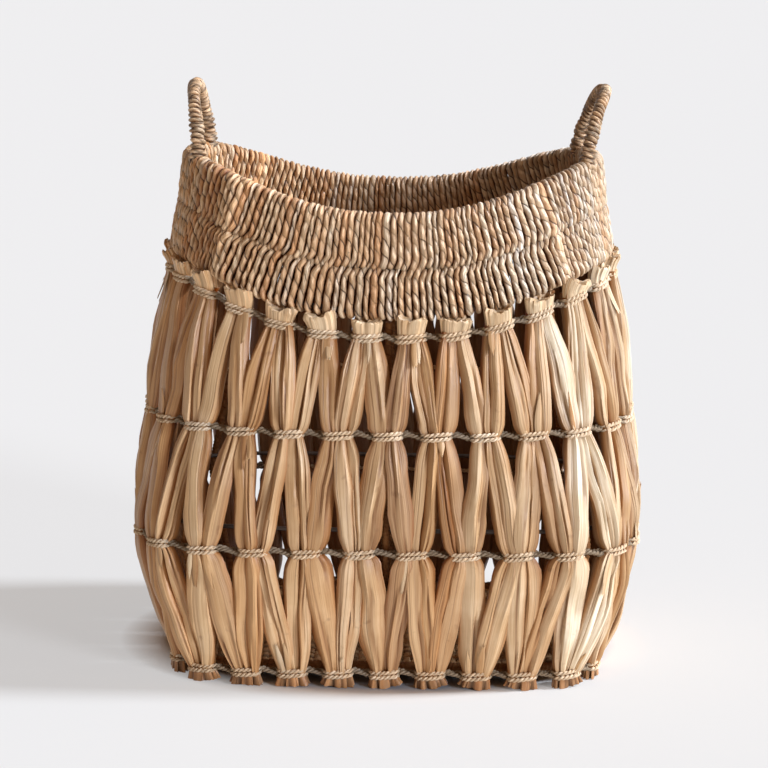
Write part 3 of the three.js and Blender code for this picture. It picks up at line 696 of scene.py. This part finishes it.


# A tail below the last tie row, shared by two bundles: a brown skirt split into strips, with painted shade in
# the splits, and a little darker towards the floor.
def tailOf(index):
    spot, tangent, normal = (value[0] for value in placeOn(ring["foot"], (index + 1) / bundleCount))
    steps = np.array([-0.12, 0.1, 0.3, 0.5, 0.7, 0.85, 0.95, 1.0])
    grown = np.clip(steps, 0, 1)
    drop = (ring["foot"]["height"] - tail["floorGap"]) * steps
    tilt = chance.uniform(-tail["tilt"], tail["tilt"])
    path = spot - np.outer(drop, up) + np.outer(grown ** 2 * tilt, tangent)
    angle = anglesRound(tail["sides"])
    flare = tail["flare"] * chance.uniform(*tail["flares"]) - 1
    wide = bundles["neckWidth"] * (1 + flare * grown ** 0.8)
    deep = bundles["neckThickness"] + (tail["deep"] - bundles["neckThickness"]) * grown
    splits = np.abs(np.cos(3.5 * angle + chance.uniform(0, 6))) ** 12
    splits = splits + 0.7 * np.abs(np.cos(5.5 * angle + chance.uniform(0, 6))) ** 14
    folds = 1 + (0.3 + 0.7 * grown)[:, None] * ripple(angle, *tail["folds"])[None]
    folds = folds - grown[:, None] * tail["splitDeep"] * splits[None]
    ragged = np.abs(ripple(angle, *tail["tears"]))
    slip = -grown[:, None] ** 4 * ragged[None]
    tone = linear(*tail["tone"]) * chance.uniform(*tail["shades"])
    streak = (1 + ripple(angle, *tail["streaks"])) * (1 - tail["splitShade"] * np.minimum(splits, 1))
    tint = tone[None, None] * streak[None, :, None] * (1.12 - 0.2 * grown)[:, None, None]
    side, out = oblong(angle, wide, deep, folds)
    strand = sweepStrand(path, np.tile(normal, (len(steps), 1)), side, out, tint, tail["girth"], slip=slip)
    strand["vertices"][:, 2] = np.maximum(strand["vertices"][:, 2], tail["floorGap"])
    return strand


sliver = {"share": 0.6, "fromBelow": 0.4, "steps": 12, "sides": 14, "start": 0.002, "length": (0.014, 0.04),
          "wide": (0.004, 0.0085), "narrows": (0.1, 0.8), "halfThick": 0.00035, "gap": 0.0005,
          "peel": (0.0005, 0.004), "aside": 0.3, "curl": (0.15, 0.35), "tears": ((2, 5), 0.003),
          "shades": (0.85, 1.1), "undersideShade": 0.45, "girth": 0.012}


# A torn sliver: a thin curved strip that a tie holds at one end, and that peels off the stalk.
def sliverOf(index, side, span):
    rows, path, tangent, normal = halfBundle(index, side)
    chosen = np.flatnonzero(rows[:, 0] == span)
    if chance.random() < sliver["fromBelow"]:
        chosen = chosen[::-1]
    walked = walkedLength(path[chosen])
    length = chance.uniform(*sliver["length"])
    target = np.linspace(sliver["start"], length, sliver["steps"])
    spot, along, out = (sampleAt(target, walked, values[chosen]) for values in (path, tangent, normal))
    part = (target - target[0]) / (length - target[0])
    thick = np.interp(target, walked, rows[chosen, 3]) / 2 * 0.86
    offset = chance.uniform(-sliver["aside"], sliver["aside"]) * np.interp(target, walked, rows[chosen, 2])
    peel = thick + sliver["gap"] + chance.uniform(*sliver["peel"]) * part ** 2
    wide = chance.uniform(*sliver["wide"]) * (0.75 + 0.25 * np.sin(pi * part))
    wide = wide * (1 - chance.uniform(*sliver["narrows"]) * part ** 2)
    angle = anglesRound(sliver["sides"])
    curl = chance.uniform(*sliver["curl"])
    sideBy = np.cos(angle)[None] * wide[:, None] / 2
    outBy = np.sin(angle)[None] * sliver["halfThick"] - curl * np.cos(angle)[None] ** 2 * wide[:, None] / 2
    slip = part[:, None] ** 6 * ripple(angle, *sliver["tears"])[None]
    tone = pickFrom(bundles["palette"]) * chance.uniform(*sliver["shades"])
    # Painted shade on the sliver's underside, which faces the stalk.
    shade = 1 - sliver["undersideShade"] * np.clip(-np.sin(angle), 0, 1)
    tint = tone[None, None] * shade[None, :, None] * np.ones((len(part), 1, 1))
    centre = spot + along * offset[:, None] + out * peel[:, None]
    return sweepStrand(centre, out, sideBy, outBy, tint, sliver["girth"], slip=slip)


for index in range(bundleCount):
    strands = stalksOfHalf(index, -1) + stalksOfHalf(index, 1) + [crownOf(index), tailOf(index)]
    for side in (-1, 1, -1, 1):
        if chance.random() < sliver["share"]:
            strands.append(sliverOf(index, side, int(chance.integers(0, 3))))
    number = "%02d" % (index + 1)
    makePiece("stalks_" + number, strands, stalkMaterial, ["bundle_" + number], stalk["creaseAngle"])
print("stalk bundles made")


# The twine rows. A string stands off the middle of a neck, leaves the neck at its reach, and
# crosses its neighbours between two necks. It is shaded where it runs between them.
twine = {"plyRadius": 0.00115, "plySpread": 0.0010, "lay": 0.0085, "step": 0.0012, "stand": 0.0086,
         "reach": 0.0132, "crossFrom": 0.82, "apart": 0.0021, "rise": 0.09, "colour": (251, 234, 208),
         "behind": 0.92, "sunk": 0.001, "dip": 0.0035, "passBy": 0.0012, "tightness": 0.12,
         "sides": 6, "girth": 0.006, "shadeFrom": 0.0105, "shadeOver": 0.003, "shade": 0.62}


# The two plies of one string, laid round each other along its closed path.
def layPlies(path, normal, shaded):
    sideways, outwards, _ = framesOn(path, normal, True)
    walked, count = walkedLength(path), len(path)
    turns = round(walked[-1] / twine["lay"])
    phase = walked / walked[-1] * turns * 2 * pi * count / (count + 1)
    plies = []
    for ply in range(2):
        spin = -phase + ply * pi
        offset = sideways * np.cos(spin)[:, None] + outwards * np.sin(spin)[:, None]
        radius = twine["plyRadius"] * (1 + 0.1 * np.sin(walked / 0.011 + ply))[:, None]
        pale = (0.94 + 0.1 * np.sin(walked / 0.05 + ply * 2)) * shaded
        tint = linear(*twine["colour"])[None] * pale[:, None]
        plies.append(sweepTube(path + offset * twine["plySpread"], normal, radius, radius, twine["sides"],
                               tint, twine["girth"], closed=True))
    return plies


# Two strings lie over each neck and one behind it, and they cross between the necks.
def twineRow(row):
    tie = tieRings[row]
    cellLength = tie["around"] / bundleCount
    count = int(tie["around"] / twine["step"])
    share = sharesRound(count)
    cell = share * bundleCount - (0.5, 0, 0.5, 0)[row]
    x = (cell - np.round(cell)) * tie["around"] / bundleCount
    spot, _, normal = placeOn(tie, share)
    over = np.clip(np.abs(x) / twine["reach"], 0, 1)
    stand = twine["stand"] * (1 - over ** 3) ** 0.45 - twine["sunk"]
    crossFrom = twine["reach"] * twine["crossFrom"]
    crossing = np.clip((np.abs(x) - crossFrom) / (cellLength / 2 - crossFrom), 0, 1)
    parted = np.cos(crossing * pi / 2)
    shaded = 1 - twine["shade"] * np.clip((np.abs(x) - twine["shadeFrom"]) / twine["shadeOver"], 0, 1)
    strands = []
    for sign in (1, -1, 0):
        out = stand - twine["dip"] * crossing if sign else -stand * twine["behind"]
        out = out * (1 - twine["tightness"] * chance.random()) + 0.0004 * np.sin(share * 2 * pi * 47 + sign)
        out = out + sign * twine["passBy"] * np.sin(crossing * pi) * np.sign(x)
        lift = (sign * twine["apart"] + x * twine["rise"]) * parted
        strands += layPlies(spot + normal * out[:, None] + up * lift[:, None], normal, shaded)
    return strands


for row in range(4):
    makePiece("twine_%d" % (row + 1), twineRow(row), twineMaterial, ["twine_row_%d" % (row + 1)])
print("twine rows made")


# The collar of wound cord. Each cord starts at the seam with a zig to the side, leans with the
# slope of the seam, goes over the edge wire and comes back inside. The uprights under it raise
# ridges, and the cords over a ridge are broader and paler.
collar = {
    "cords": 190, "hug": 0.0027, "thick": 0.0044, "spread": 0.16, "lean": 0.78, "zig": 1.25, "zigReach": 0.17,
    "lap": 0.95, "uneven": (-0.0026, 0.0006), "legSteps": {1: 26, -1: 15}, "sides": 9, "relief": 0.27,
    "aside": 0.0007, "asideWander": (0.7, 0.6), "pressed": 0.0007, "bellied": 0.0004, "sizes": (-2, 2.4),
    "shades": (0.97, 1.16), "tipLength": 0.0018, "tipThinAndShade": 0.5, "groovePhase": 0.35,
    "ridge": 0.0034, "ridgeReach": 0.0085, "ridges": (4, 11, 19, 26),
    "ridgeNear": 0.0042, "ridgeWider": 1.4, "ridgePaler": 1.2,
    # The groove values set the painted shade in the grooves between the cords.
    "groove": (0.84, 1.05, 1.16), "grooveShadeDepth": 0.86, "groovePower": 3.8, "browner": 1.7, "paler": 1.4,
    "palette": [((246, 221, 187), 0.46), ((251, 236, 210), 0.3), ((234, 197, 156), 0.14),
                ((253, 245, 230), 0.1)],
}


def slopeOf(ringMade, share):
    ahead, behind = pointOn(ringMade, share + 0.003), pointOn(ringMade, share - 0.003)
    return (ahead[..., 2] - behind[..., 2]) / (0.006 * ringMade["around"])


# One leg of a cord from the seam to the edge, outside (1) or inside (-1) the basket.
def collarLeg(edge, seam, facing, share, lean, reach, outside):
    pitch = 1 / collar["cords"]
    part = np.linspace(0, 1, collar["legSteps"][outside]) ** 0.9
    kink = facing * collar["zig"] * pitch * 0.5 * np.clip(1 - part / collar["zigReach"], 0, 1) ** 0.8
    shares = share + lean * part - kink + (outside < 0) * 0.5 * pitch
    shares = shares + collar["aside"] * wander(part, *collar["asideWander"])
    spot, _, normal = placeBetween(seam, edge, shares, part)
    spot = spot + up * (reach * np.exp(-(part / 0.2) ** 2))[:, None]
    hug = collar["hug"] - collar["pressed"] * np.exp(-(part / 0.06) ** 2)
    hug = hug + collar["bellied"] * np.sin(pi * part)
    for phase in collar["ridges"] if outside > 0 else ():
        apart = ((shares - phase / bundleCount + 0.5) % 1 - 0.5) * seam["around"]
        hug = hug + collar["ridge"] * np.exp(-(apart / collar["ridgeReach"]) ** 2)
    return spot + normal * (outside * hug)[:, None], normal * outside, shares[-1]


def collarPath(edge, seam, facing, share):
    height = abs(edge["height"] - seam["height"])
    lean = -slopeOf(seam, share) * height * collar["lean"] / seam["around"] * facing
    reach = facing * chance.uniform(*collar["uneven"])
    outer, inner = (collarLeg(edge, seam, facing, share, lean, reach, outside) for outside in (1, -1))
    over = np.linspace(0, pi, 7)[1:-1]
    spot, _, normal = placeOn(edge, outer[2] + (inner[2] - outer[2]) * over / pi)
    spoke = normal * np.cos(over)[:, None] + up * (facing * np.sin(over))[:, None]
    path = np.vstack([outer[0], spot + spoke * collar["hug"], inner[0][::-1]])
    return path, np.vstack([outer[1], spoke, inner[1][::-1]])


# A domed strand whose twist is modelled, in step with the line of painted shade that its material draws.
def collarCord(edge, seam, facing, share, width, tone):
    path, outward = collarPath(edge, seam, facing, share)
    walked = walkedLength(path)
    dome = np.linspace(0, pi, collar["sides"])
    wide = width * collar["lap"] * (1 + 0.06 * wander(walked, 0.024))
    moved = chance.uniform(0, 3, 2)
    started = moved[0] / cordGirth + moved[1] / cordLay + collar["groovePhase"]
    phase = sharesRound(collar["sides"])[None] + (walked / cordLay)[:, None] + started
    relief = 1 - collar["relief"] * (1 - np.abs(np.cos(pi * phase)) ** 0.6)
    # Towards its ends at the seam the cord thins, and painted shade darkens it there.
    tip = collar["tipThinAndShade"] * np.exp(-np.minimum(walked, walked[-1] - walked) / collar["tipLength"])
    thick = collar["thick"] * (1.1 + 0.1 * wander(walked, 0.03) - tip)
    side = np.cos(dome)[None] * wide[:, None] / 2
    out = np.sin(dome)[None] ** 0.95 * thick[:, None] * relief
    shade = tone[None] * (1 + 0.12 * wander(walked, 0.04) - tip)[:, None]
    return sweepStrand(path, outward, side, out, withGrooveShade(shade, dome, collar), cordGirth, moved=moved)


def collarBand(edge, facing):
    seam = ring["seam"]
    sizes = 1 + collar["spread"] * chance.standard_normal(collar["cords"]).clip(*collar["sizes"])
    sizes /= sizes.sum()
    centres = np.cumsum(sizes) - sizes / 2
    strands = []
    for share, size in zip(centres, sizes):
        tone = pickFrom(collar["palette"]) * chance.uniform(*collar["shades"])
        tone = paintedSideLight(tone, share, collar["browner"], collar["paler"])
        if facing < 0:
            share = share + 0.5 / collar["cords"]
        apart = min(abs((share - phase / bundleCount + 0.5) % 1 - 0.5) for phase in collar["ridges"])
        if apart * seam["around"] < collar["ridgeNear"]:
            size, tone = size * collar["ridgeWider"], tone * collar["ridgePaler"]
        strands.append(collarCord(edge, seam, facing, share, size * seam["around"], tone))
    return strands


makePiece("collar_upper_cord", collarBand(ring["rim"], 1), cordMaterial, ["collar_upper_band"])
makePiece("collar_lower_cord", collarBand(ring["lower"], -1), cordMaterial, ["collar_lower_band"])
print("collar made")


# The handles: a wire arch at each end, and a flat twisted cord wound over it that flares out
# where it runs into the rim.
handle = {
    "spread": 0.060, "rise": 0.0683, "power": 2.0, "bend": {-1: 0.0035, 1: 0.006}, "foot": -0.0035,
    "wireRadius": 0.00225, "gap": 0.0003, "cordWide": 0.0052, "cordThick": 0.0036, "start": 0.004,
    "pitch": 0.0047, "perTurn": 26, "flare": 0.0026, "flareReach": 0.011, "twistLength": 0.0026,
    "sides": 7, "twistDeep": 0.26, "twistShade": 0.55, "tone": (240, 216, 182), "archSteps": 2001,
    "wideWander": (0.06, 0.08), "toneWander": (0.021, 0.36),
    # The groove values set the painted shade in the grooves beside each turn of the cord.
    "groove": (0.85, 1.03, 1.14), "grooveShadeDepth": 0.84, "groovePower": 2.6,
}


def archPoints(end, part):
    angle = part * pi
    y = handle["spread"] * np.sign(np.cos(angle)) * np.abs(np.cos(angle)) ** (2 / handle["power"])
    lift = handle["rise"] * np.abs(np.sin(angle)) ** (2 / handle["power"])
    rim = ring["rim"]
    x = rim["halfWidth"] * (1 - (np.abs(y) / rim["halfDepth"]) ** rim["power"]) ** (1 / rim["power"])
    level = (handle["spread"] / rim["halfDepth"]) ** levelPower
    foot = rim["height"] + rim["endRise"] * (1 - level) + handle["foot"]
    bend = handle["bend"][end] * (lift / handle["rise"]) ** 2
    return np.stack([end * x + bend, -y, foot + lift], -1)


def handleWrap(end):
    arch = archPoints(end, np.linspace(0, 1, handle["archSteps"]))
    lengths = walkedLength(arch)
    start = handle["start"]
    total = lengths[-1] - 2 * start
    count = int(total / handle["pitch"] * handle["perTurn"])
    target = start + np.linspace(0, total, count)
    centre = sampleAt(target, lengths, arch)
    sideways, outwards, _ = framesOn(centre, np.tile([end, 0.0, 0.0], (count, 1)))
    angle = np.arange(count) / handle["perTurn"] * 2 * pi
    spoke = outwards * np.cos(angle)[:, None] + sideways * np.sin(angle)[:, None]
    fromEnd = np.minimum(target - start, start + total - target)
    flare = handle["flare"] * np.exp(-fromEnd / handle["flareReach"])
    path = centre + spoke * (handle["wireRadius"] + handle["gap"] + flare)[:, None]
    walked = walkedLength(path)
    dome = np.linspace(0, pi, handle["sides"])
    wide = handle["cordWide"] * (1 + wander(walked, *handle["wideWander"]))
    twist = np.cos(2 * dome[None] - 2 * (walked / handle["twistLength"])[:, None])
    side = np.cos(dome)[None] * wide[:, None] / 2
    out = np.sin(dome)[None] ** 0.9 * handle["cordThick"] * (1 + handle["twistDeep"] * twist)
    tone = linear(*handle["tone"])[None] * (1 + wander(walked, *handle["toneWander"]))[:, None]
    # Painted shade in the grooves beside the cord and in the valleys of its twist.
    tint = withGrooveShade(tone, dome, handle) * (1 - handle["twistShade"] * np.clip(-twist, 0, 1))[..., None]
    return sweepStrand(path, spoke, side, out, tint, cordGirth)


for sideName, end in (("left", -1), ("right", 1)):
    makePiece("handle_cord_" + sideName, [handleWrap(end)], cordMaterial, ["handle_wrap_" + sideName])
print("handles made")


# The wrapped frame below the collar, with its bare belly ring. An inset is how far a rod lies
# inside the middle of the stalks there.
frameParts = {
    "uprights": {"front": 0, "front_right": 4, "back_right": 11, "back": 15, "back_left": 19,
                 "front_left": 26},
    "uprightRadius": 0.0035, "inset": 0.0095, "tiedInset": 0.0157, "neckInset": 0.011, "topInset": 0.0085,
    "footLift": 0.0058, "topLift": 0.0148, "step": 0.0009, "smoothing": 12,
    "pitch": 0.0036, "sides": 10, "ribLow": 0.8, "ribHigh": 0.24, "tone": (170, 124, 80),
    "bellyHeight": 0.145, "bellyRadius": 0.002, "bellyInset": 0.0153, "bellySteps": 300, "bellyGirth": 0.0126,
    "baseRadius": 0.0045, "baseInset": 0.0167, "baseHeight": 0.014, "baseSteps": 1100,
}


# Rod wound with thin cord: its radius rises and falls along a helix.
def wrappedRod(path, outward, radius, closed):
    walked = walkedLength(path)
    angle = anglesRound(frameParts["sides"])
    turns = walked / frameParts["pitch"]
    if closed:
        turns = turns * round(turns[-1]) / turns[-1] * len(path) / (len(path) + 1)
    rib = np.abs(np.sin(turns[:, None] * pi + angle[None] / 2))
    size = radius * (frameParts["ribLow"] + frameParts["ribHigh"] * rib)
    tint = linear(*frameParts["tone"])[None] * (1 + 0.1 * wander(walked, 0.08))[:, None]
    return sweepTube(path, outward, size, size, frameParts["sides"], tint, wrapGirth, closed)


def smoothPath(points):
    lengths = walkedLength(points)
    target = np.linspace(0, lengths[-1], int(lengths[-1] / frameParts["step"]))
    path = sampleAt(target, lengths, points)
    reach = frameParts["smoothing"]
    padded = np.vstack([np.repeat(path[:1], reach, 0), path, np.repeat(path[-1:], reach, 0)])
    window = np.ones(2 * reach + 1) / (2 * reach + 1)
    return np.stack([np.convolve(padded[:, k], window, "valid") for k in range(3)], -1)


belly, upper = ring["belly"], ring["upper"]
bellyPart = (frameParts["bellyHeight"] - belly["height"]) / (upper["height"] - belly["height"])


# An upright's middle line from the base ring to the collar, and its outward direction.
def uprightLine(share):
    foot, bellyTie, upperTie, neck = (placeOn(tieRings[tie], share) for tie in (3, 2, 1, 0))
    bellyWire = placeBetween(belly, upper, share, bellyPart)
    points = []
    for (spot, _, normal), insetName, lift in (
            (foot, "baseInset", frameParts["footLift"]), (bellyTie, "inset", 0), (bellyWire, "inset", 0),
            (upperTie, "tiedInset", 0), (neck, "neckInset", 0), (neck, "topInset", frameParts["topLift"])):
        points.append(spot[0] - normal[0] * frameParts[insetName] + up * lift)
    return smoothPath(np.array(points)), bellyWire[2]


for name, phase in frameParts["uprights"].items():
    path, outward = uprightLine(phase / bundleCount)
    wrapped = wrappedRod(path, np.repeat(outward, len(path), 0), frameParts["uprightRadius"], False)
    makePiece("upright_wrap_" + name, [wrapped], wrapMaterial, ["upright_" + name])

share = sharesRound(frameParts["bellySteps"])
spot, _, normal = placeBetween(belly, upper, share, np.full(len(share), bellyPart))
radius = frameParts["bellyRadius"]
bellyWire = sweepTube(spot - normal * frameParts["bellyInset"], normal, radius, radius,
                      frameParts["sides"], (1, 1, 1), frameParts["bellyGirth"], closed=True)
makePiece("belly_wire", [bellyWire], wireMaterial, ["belly_ring"])

spot, _, normal = placeOn(ring["foot"], sharesRound(frameParts["baseSteps"]))
path = spot - normal * frameParts["baseInset"] + up * (frameParts["baseHeight"] - ring["foot"]["height"])
baseWrap = wrappedRod(path, normal, frameParts["baseRadius"], True)
makePiece("base_ring_wrap", [baseWrap], wrapMaterial, ["base_ring"])
print("frame made")


# The woven base mat: strips in two directions that go over and under each other, and a hem.
mat = {"pitch": 0.0068, "strip": 0.46, "thick": 0.0021, "weave": 0.00105, "low": 0.0096, "high": 0.0144,
       "edge": 0.0215, "clear": 0.001, "short": 0.002, "stripSides": 6, "hemSides": 8, "hemSteps": 360,
       "hemInset": 0.0018, "hem": (0.0021, 0.0017), "girth": 0.012, "tone": (224, 186, 142),
       "shades": (0.55, 1.25)}


def matStrips():
    foot = ring["foot"]
    edge = mat["edge"] + mat["clear"]
    halfWidth, halfDepth = foot["halfWidth"] - edge, foot["halfDepth"] - edge
    middle = (mat["low"] + mat["high"]) / 2
    strands = []
    for direction, reach, other in ((0, halfDepth, halfWidth), (1, halfWidth, halfDepth)):
        lines = int(reach / mat["pitch"])
        for k in range(-lines, lines + 1):
            at = k * mat["pitch"]
            length = other * (1 - min(1, abs(at) / reach) ** foot["power"]) ** (1 / foot["power"])
            length -= mat["short"]
            if length < mat["pitch"]:
                continue
            count = int(length * 2 / mat["pitch"] * 4)
            walk, still = np.linspace(-length, length, count), np.full(count, at)
            wave = np.cos(pi * walk / mat["pitch"]) * (1 if (k + direction) % 2 else -1)
            height = middle + wave * mat["weave"]
            path = np.stack([walk, still, height] if direction == 0 else [still, walk, height], -1)
            tone = linear(*mat["tone"]) * chance.uniform(*mat["shades"])
            strands.append(sweepTube(path, np.tile(up, (count, 1)), mat["pitch"] * mat["strip"],
                                     mat["thick"] / 2, mat["stripSides"], tone, mat["girth"]))
    return strands


def matHem():
    spot, _, normal = placeOn(ring["foot"], sharesRound(mat["hemSteps"]))
    lift = (mat["low"] + mat["high"]) / 2 - ring["foot"]["height"]
    path = spot - normal * (mat["edge"] + mat["hemInset"]) + up * lift
    return sweepTube(path, normal, *mat["hem"], mat["hemSides"], linear(*mat["tone"]), mat["girth"], True)


hem = matHem()
makePiece("mat_weave", [*matStrips(), hem], matMaterial, ["base_mat"])
print("mat made")


# Plain metal that stays as the solids have it.
for name in ("rim_wire", "seam_wire", "collar_lower_wire", "handle_wire_left", "handle_wire_right",
             "base_bar_1", "base_bar_2", "base_bar_3"):
    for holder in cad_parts[name].material_slots:
        holder.material = wireMaterial


# Floor, light and camera. The floor's own glow stands for the bright room: it fades under the basket, within
# a footprint given by its half width and half depth. There the floor's colour also darkens into a painted
# contact shadow.
studio = {
    "background": (0.88, 0.88, 0.88), "floor": (0.81, 0.757, 0.675), "contactShadowTone": (0.44, 0.45, 0.47),
    "glowTone": (0.862, 0.885, 0.905), "floorGlow": 0.54, "floorBounce": 0.45,
    "footprint": (0.215, 0.165), "contactShadowFade": (0.9, 1.02), "glowFade": (0.97, 1.18),
    "fill": (0.03, 0.385), "fillFrom": (0.8, -0.25, 0.55), "fillFade": (-0.6, 1.0),
    "fillTint": (1.0, 0.6, 0.345),
    "key": 4.1, "keyFrom": (1.0, 0.03, 0.74), "keySoftness": 9.0,
    "low": 2.65, "lowFrom": (0.96, -0.84, 0.28), "lowSoftness": 16.0, "lampTint": (0.865, 0.99, 1.2),
    "lens": 108.2, "cameraAt": (0.0204, -2.1139, 0.6735), "swing": 0.7, "tilt": 90 - 11.41, "roll": 0.8,
}


# Whether a ray comes from the camera, straight or through something glossy or clear.
def seenDirectly(tree):
    path = addNode(tree, "ShaderNodeLightPath").outputs
    seen = maths(tree, "ADD", path["Is Camera Ray"], path["Is Glossy Ray"], clamp=True)
    return maths(tree, "ADD", seen, path["Is Transmission Ray"], clamp=True)


def fadeOf(tree, value, start, end, low=0.0, high=1.0):
    fade = addNode(tree, "ShaderNodeMapRange", {
        "Value": value, "From Min": start, "From Max": end, "To Min": low, "To Max": high})
    return fade.outputs["Result"]


def makeFloor():
    bpy.ops.object.select_all(action="DESELECT")
    bpy.ops.mesh.primitive_plane_add(size=30, location=(0, 8, 0))
    floor = bpy.context.object
    floor.name = "studio_floor"
    material, tree, shader = newMaterial("studioFloor", 0.9, specular=0.0)
    seen = seenDirectly(tree)
    glow = addNode(tree, "ShaderNodeEmission", {"Color": (*studio["glowTone"], 1), "Strength": 1.0})
    place = addNode(tree, "ShaderNodeNewGeometry").outputs["Position"]
    halfWidth, halfDepth = studio["footprint"]
    scaled = addNode(tree, "ShaderNodeVectorMath", {0: place, 1: (1 / halfWidth, 1 / halfDepth, 0)},
                     operation="MULTIPLY")
    apart = addNode(tree, "ShaderNodeVectorMath", {0: scaled.outputs[0]}, operation="LENGTH").outputs["Value"]
    # Painted contact shadow: the floor's colour turns dark under the basket.
    outside = fadeOf(tree, apart, *studio["contactShadowFade"])
    colour = mixColours(tree, outside, studio["contactShadowTone"], studio["floor"])
    tree.links.new(colour, shader.inputs["Base Color"])
    amount = times(tree, seen, studio["floorGlow"] - studio["floorBounce"])
    amount = maths(tree, "ADD", amount, studio["floorBounce"])
    share = times(tree, amount, fadeOf(tree, apart, *studio["glowFade"]))
    mix = addNode(tree, "ShaderNodeMixShader", {0: share, 1: shader.outputs[0], 2: glow.outputs[0]})
    tree.links.new(mix.outputs[0], tree.nodes["Material Output"].inputs["Surface"])
    floor.data.materials.append(material)


def makeWorld():
    world = bpy.data.worlds.new("studio")
    bpy.context.scene.world = world
    world.use_nodes = True
    tree = world.node_tree
    tree.nodes.clear()
    plain = addNode(tree, "ShaderNodeBackground", {"Color": (*studio["background"], 1), "Strength": 1.0})
    toward = addNode(tree, "ShaderNodeTexCoord").outputs["Generated"]
    source = Vector(studio["fillFrom"]).normalized()
    across = addNode(tree, "ShaderNodeVectorMath", {0: toward, 1: source}, operation="DOT_PRODUCT")
    bright = fadeOf(tree, across.outputs["Value"], *studio["fillFade"], *studio["fill"])
    light = addNode(tree, "ShaderNodeBackground", {"Color": (*studio["fillTint"], 1), "Strength": bright})
    seen = seenDirectly(tree)
    mix = addNode(tree, "ShaderNodeMixShader", {0: seen, 1: light.outputs[0], 2: plain.outputs[0]})
    addNode(tree, "ShaderNodeOutputWorld", {"Surface": mix.outputs[0]})


# The key light stands level with the long side, to the right, so the shadow falls straight left.
# A low one beside it grazes the stalks and gives them their pale right edges.
def addLamp(name):
    lamp = bpy.data.lights.new(name, "SUN")
    lamp.energy = studio[name]
    lamp.angle = radians(studio[name + "Softness"])
    lamp.color = studio["lampTint"]
    made = bpy.data.objects.new(name, lamp)
    bpy.context.scene.collection.objects.link(made)
    made.location = studio[name + "From"]
    made.rotation_euler = Vector(studio[name + "From"]).to_track_quat("Z", "Y").to_euler()


def addCamera():
    lens = bpy.data.cameras.new("camera")
    lens.sensor_width = 36
    lens.lens = studio["lens"]
    camera = bpy.data.objects.new("camera", lens)
    bpy.context.scene.collection.objects.link(camera)
    swing, tilt, roll = (Matrix.Rotation(radians(studio[name]), 4, axis)
                         for name, axis in (("swing", "Z"), ("tilt", "X"), ("roll", "Z")))
    camera.matrix_world = Matrix.Translation(studio["cameraAt"]) @ swing @ tilt @ roll
    bpy.context.scene.camera = camera


makeFloor()
makeWorld()
addLamp("key")
addLamp("low")
addCamera()
bpy.context.scene.view_settings.view_transform = "Standard"
print("studio made")
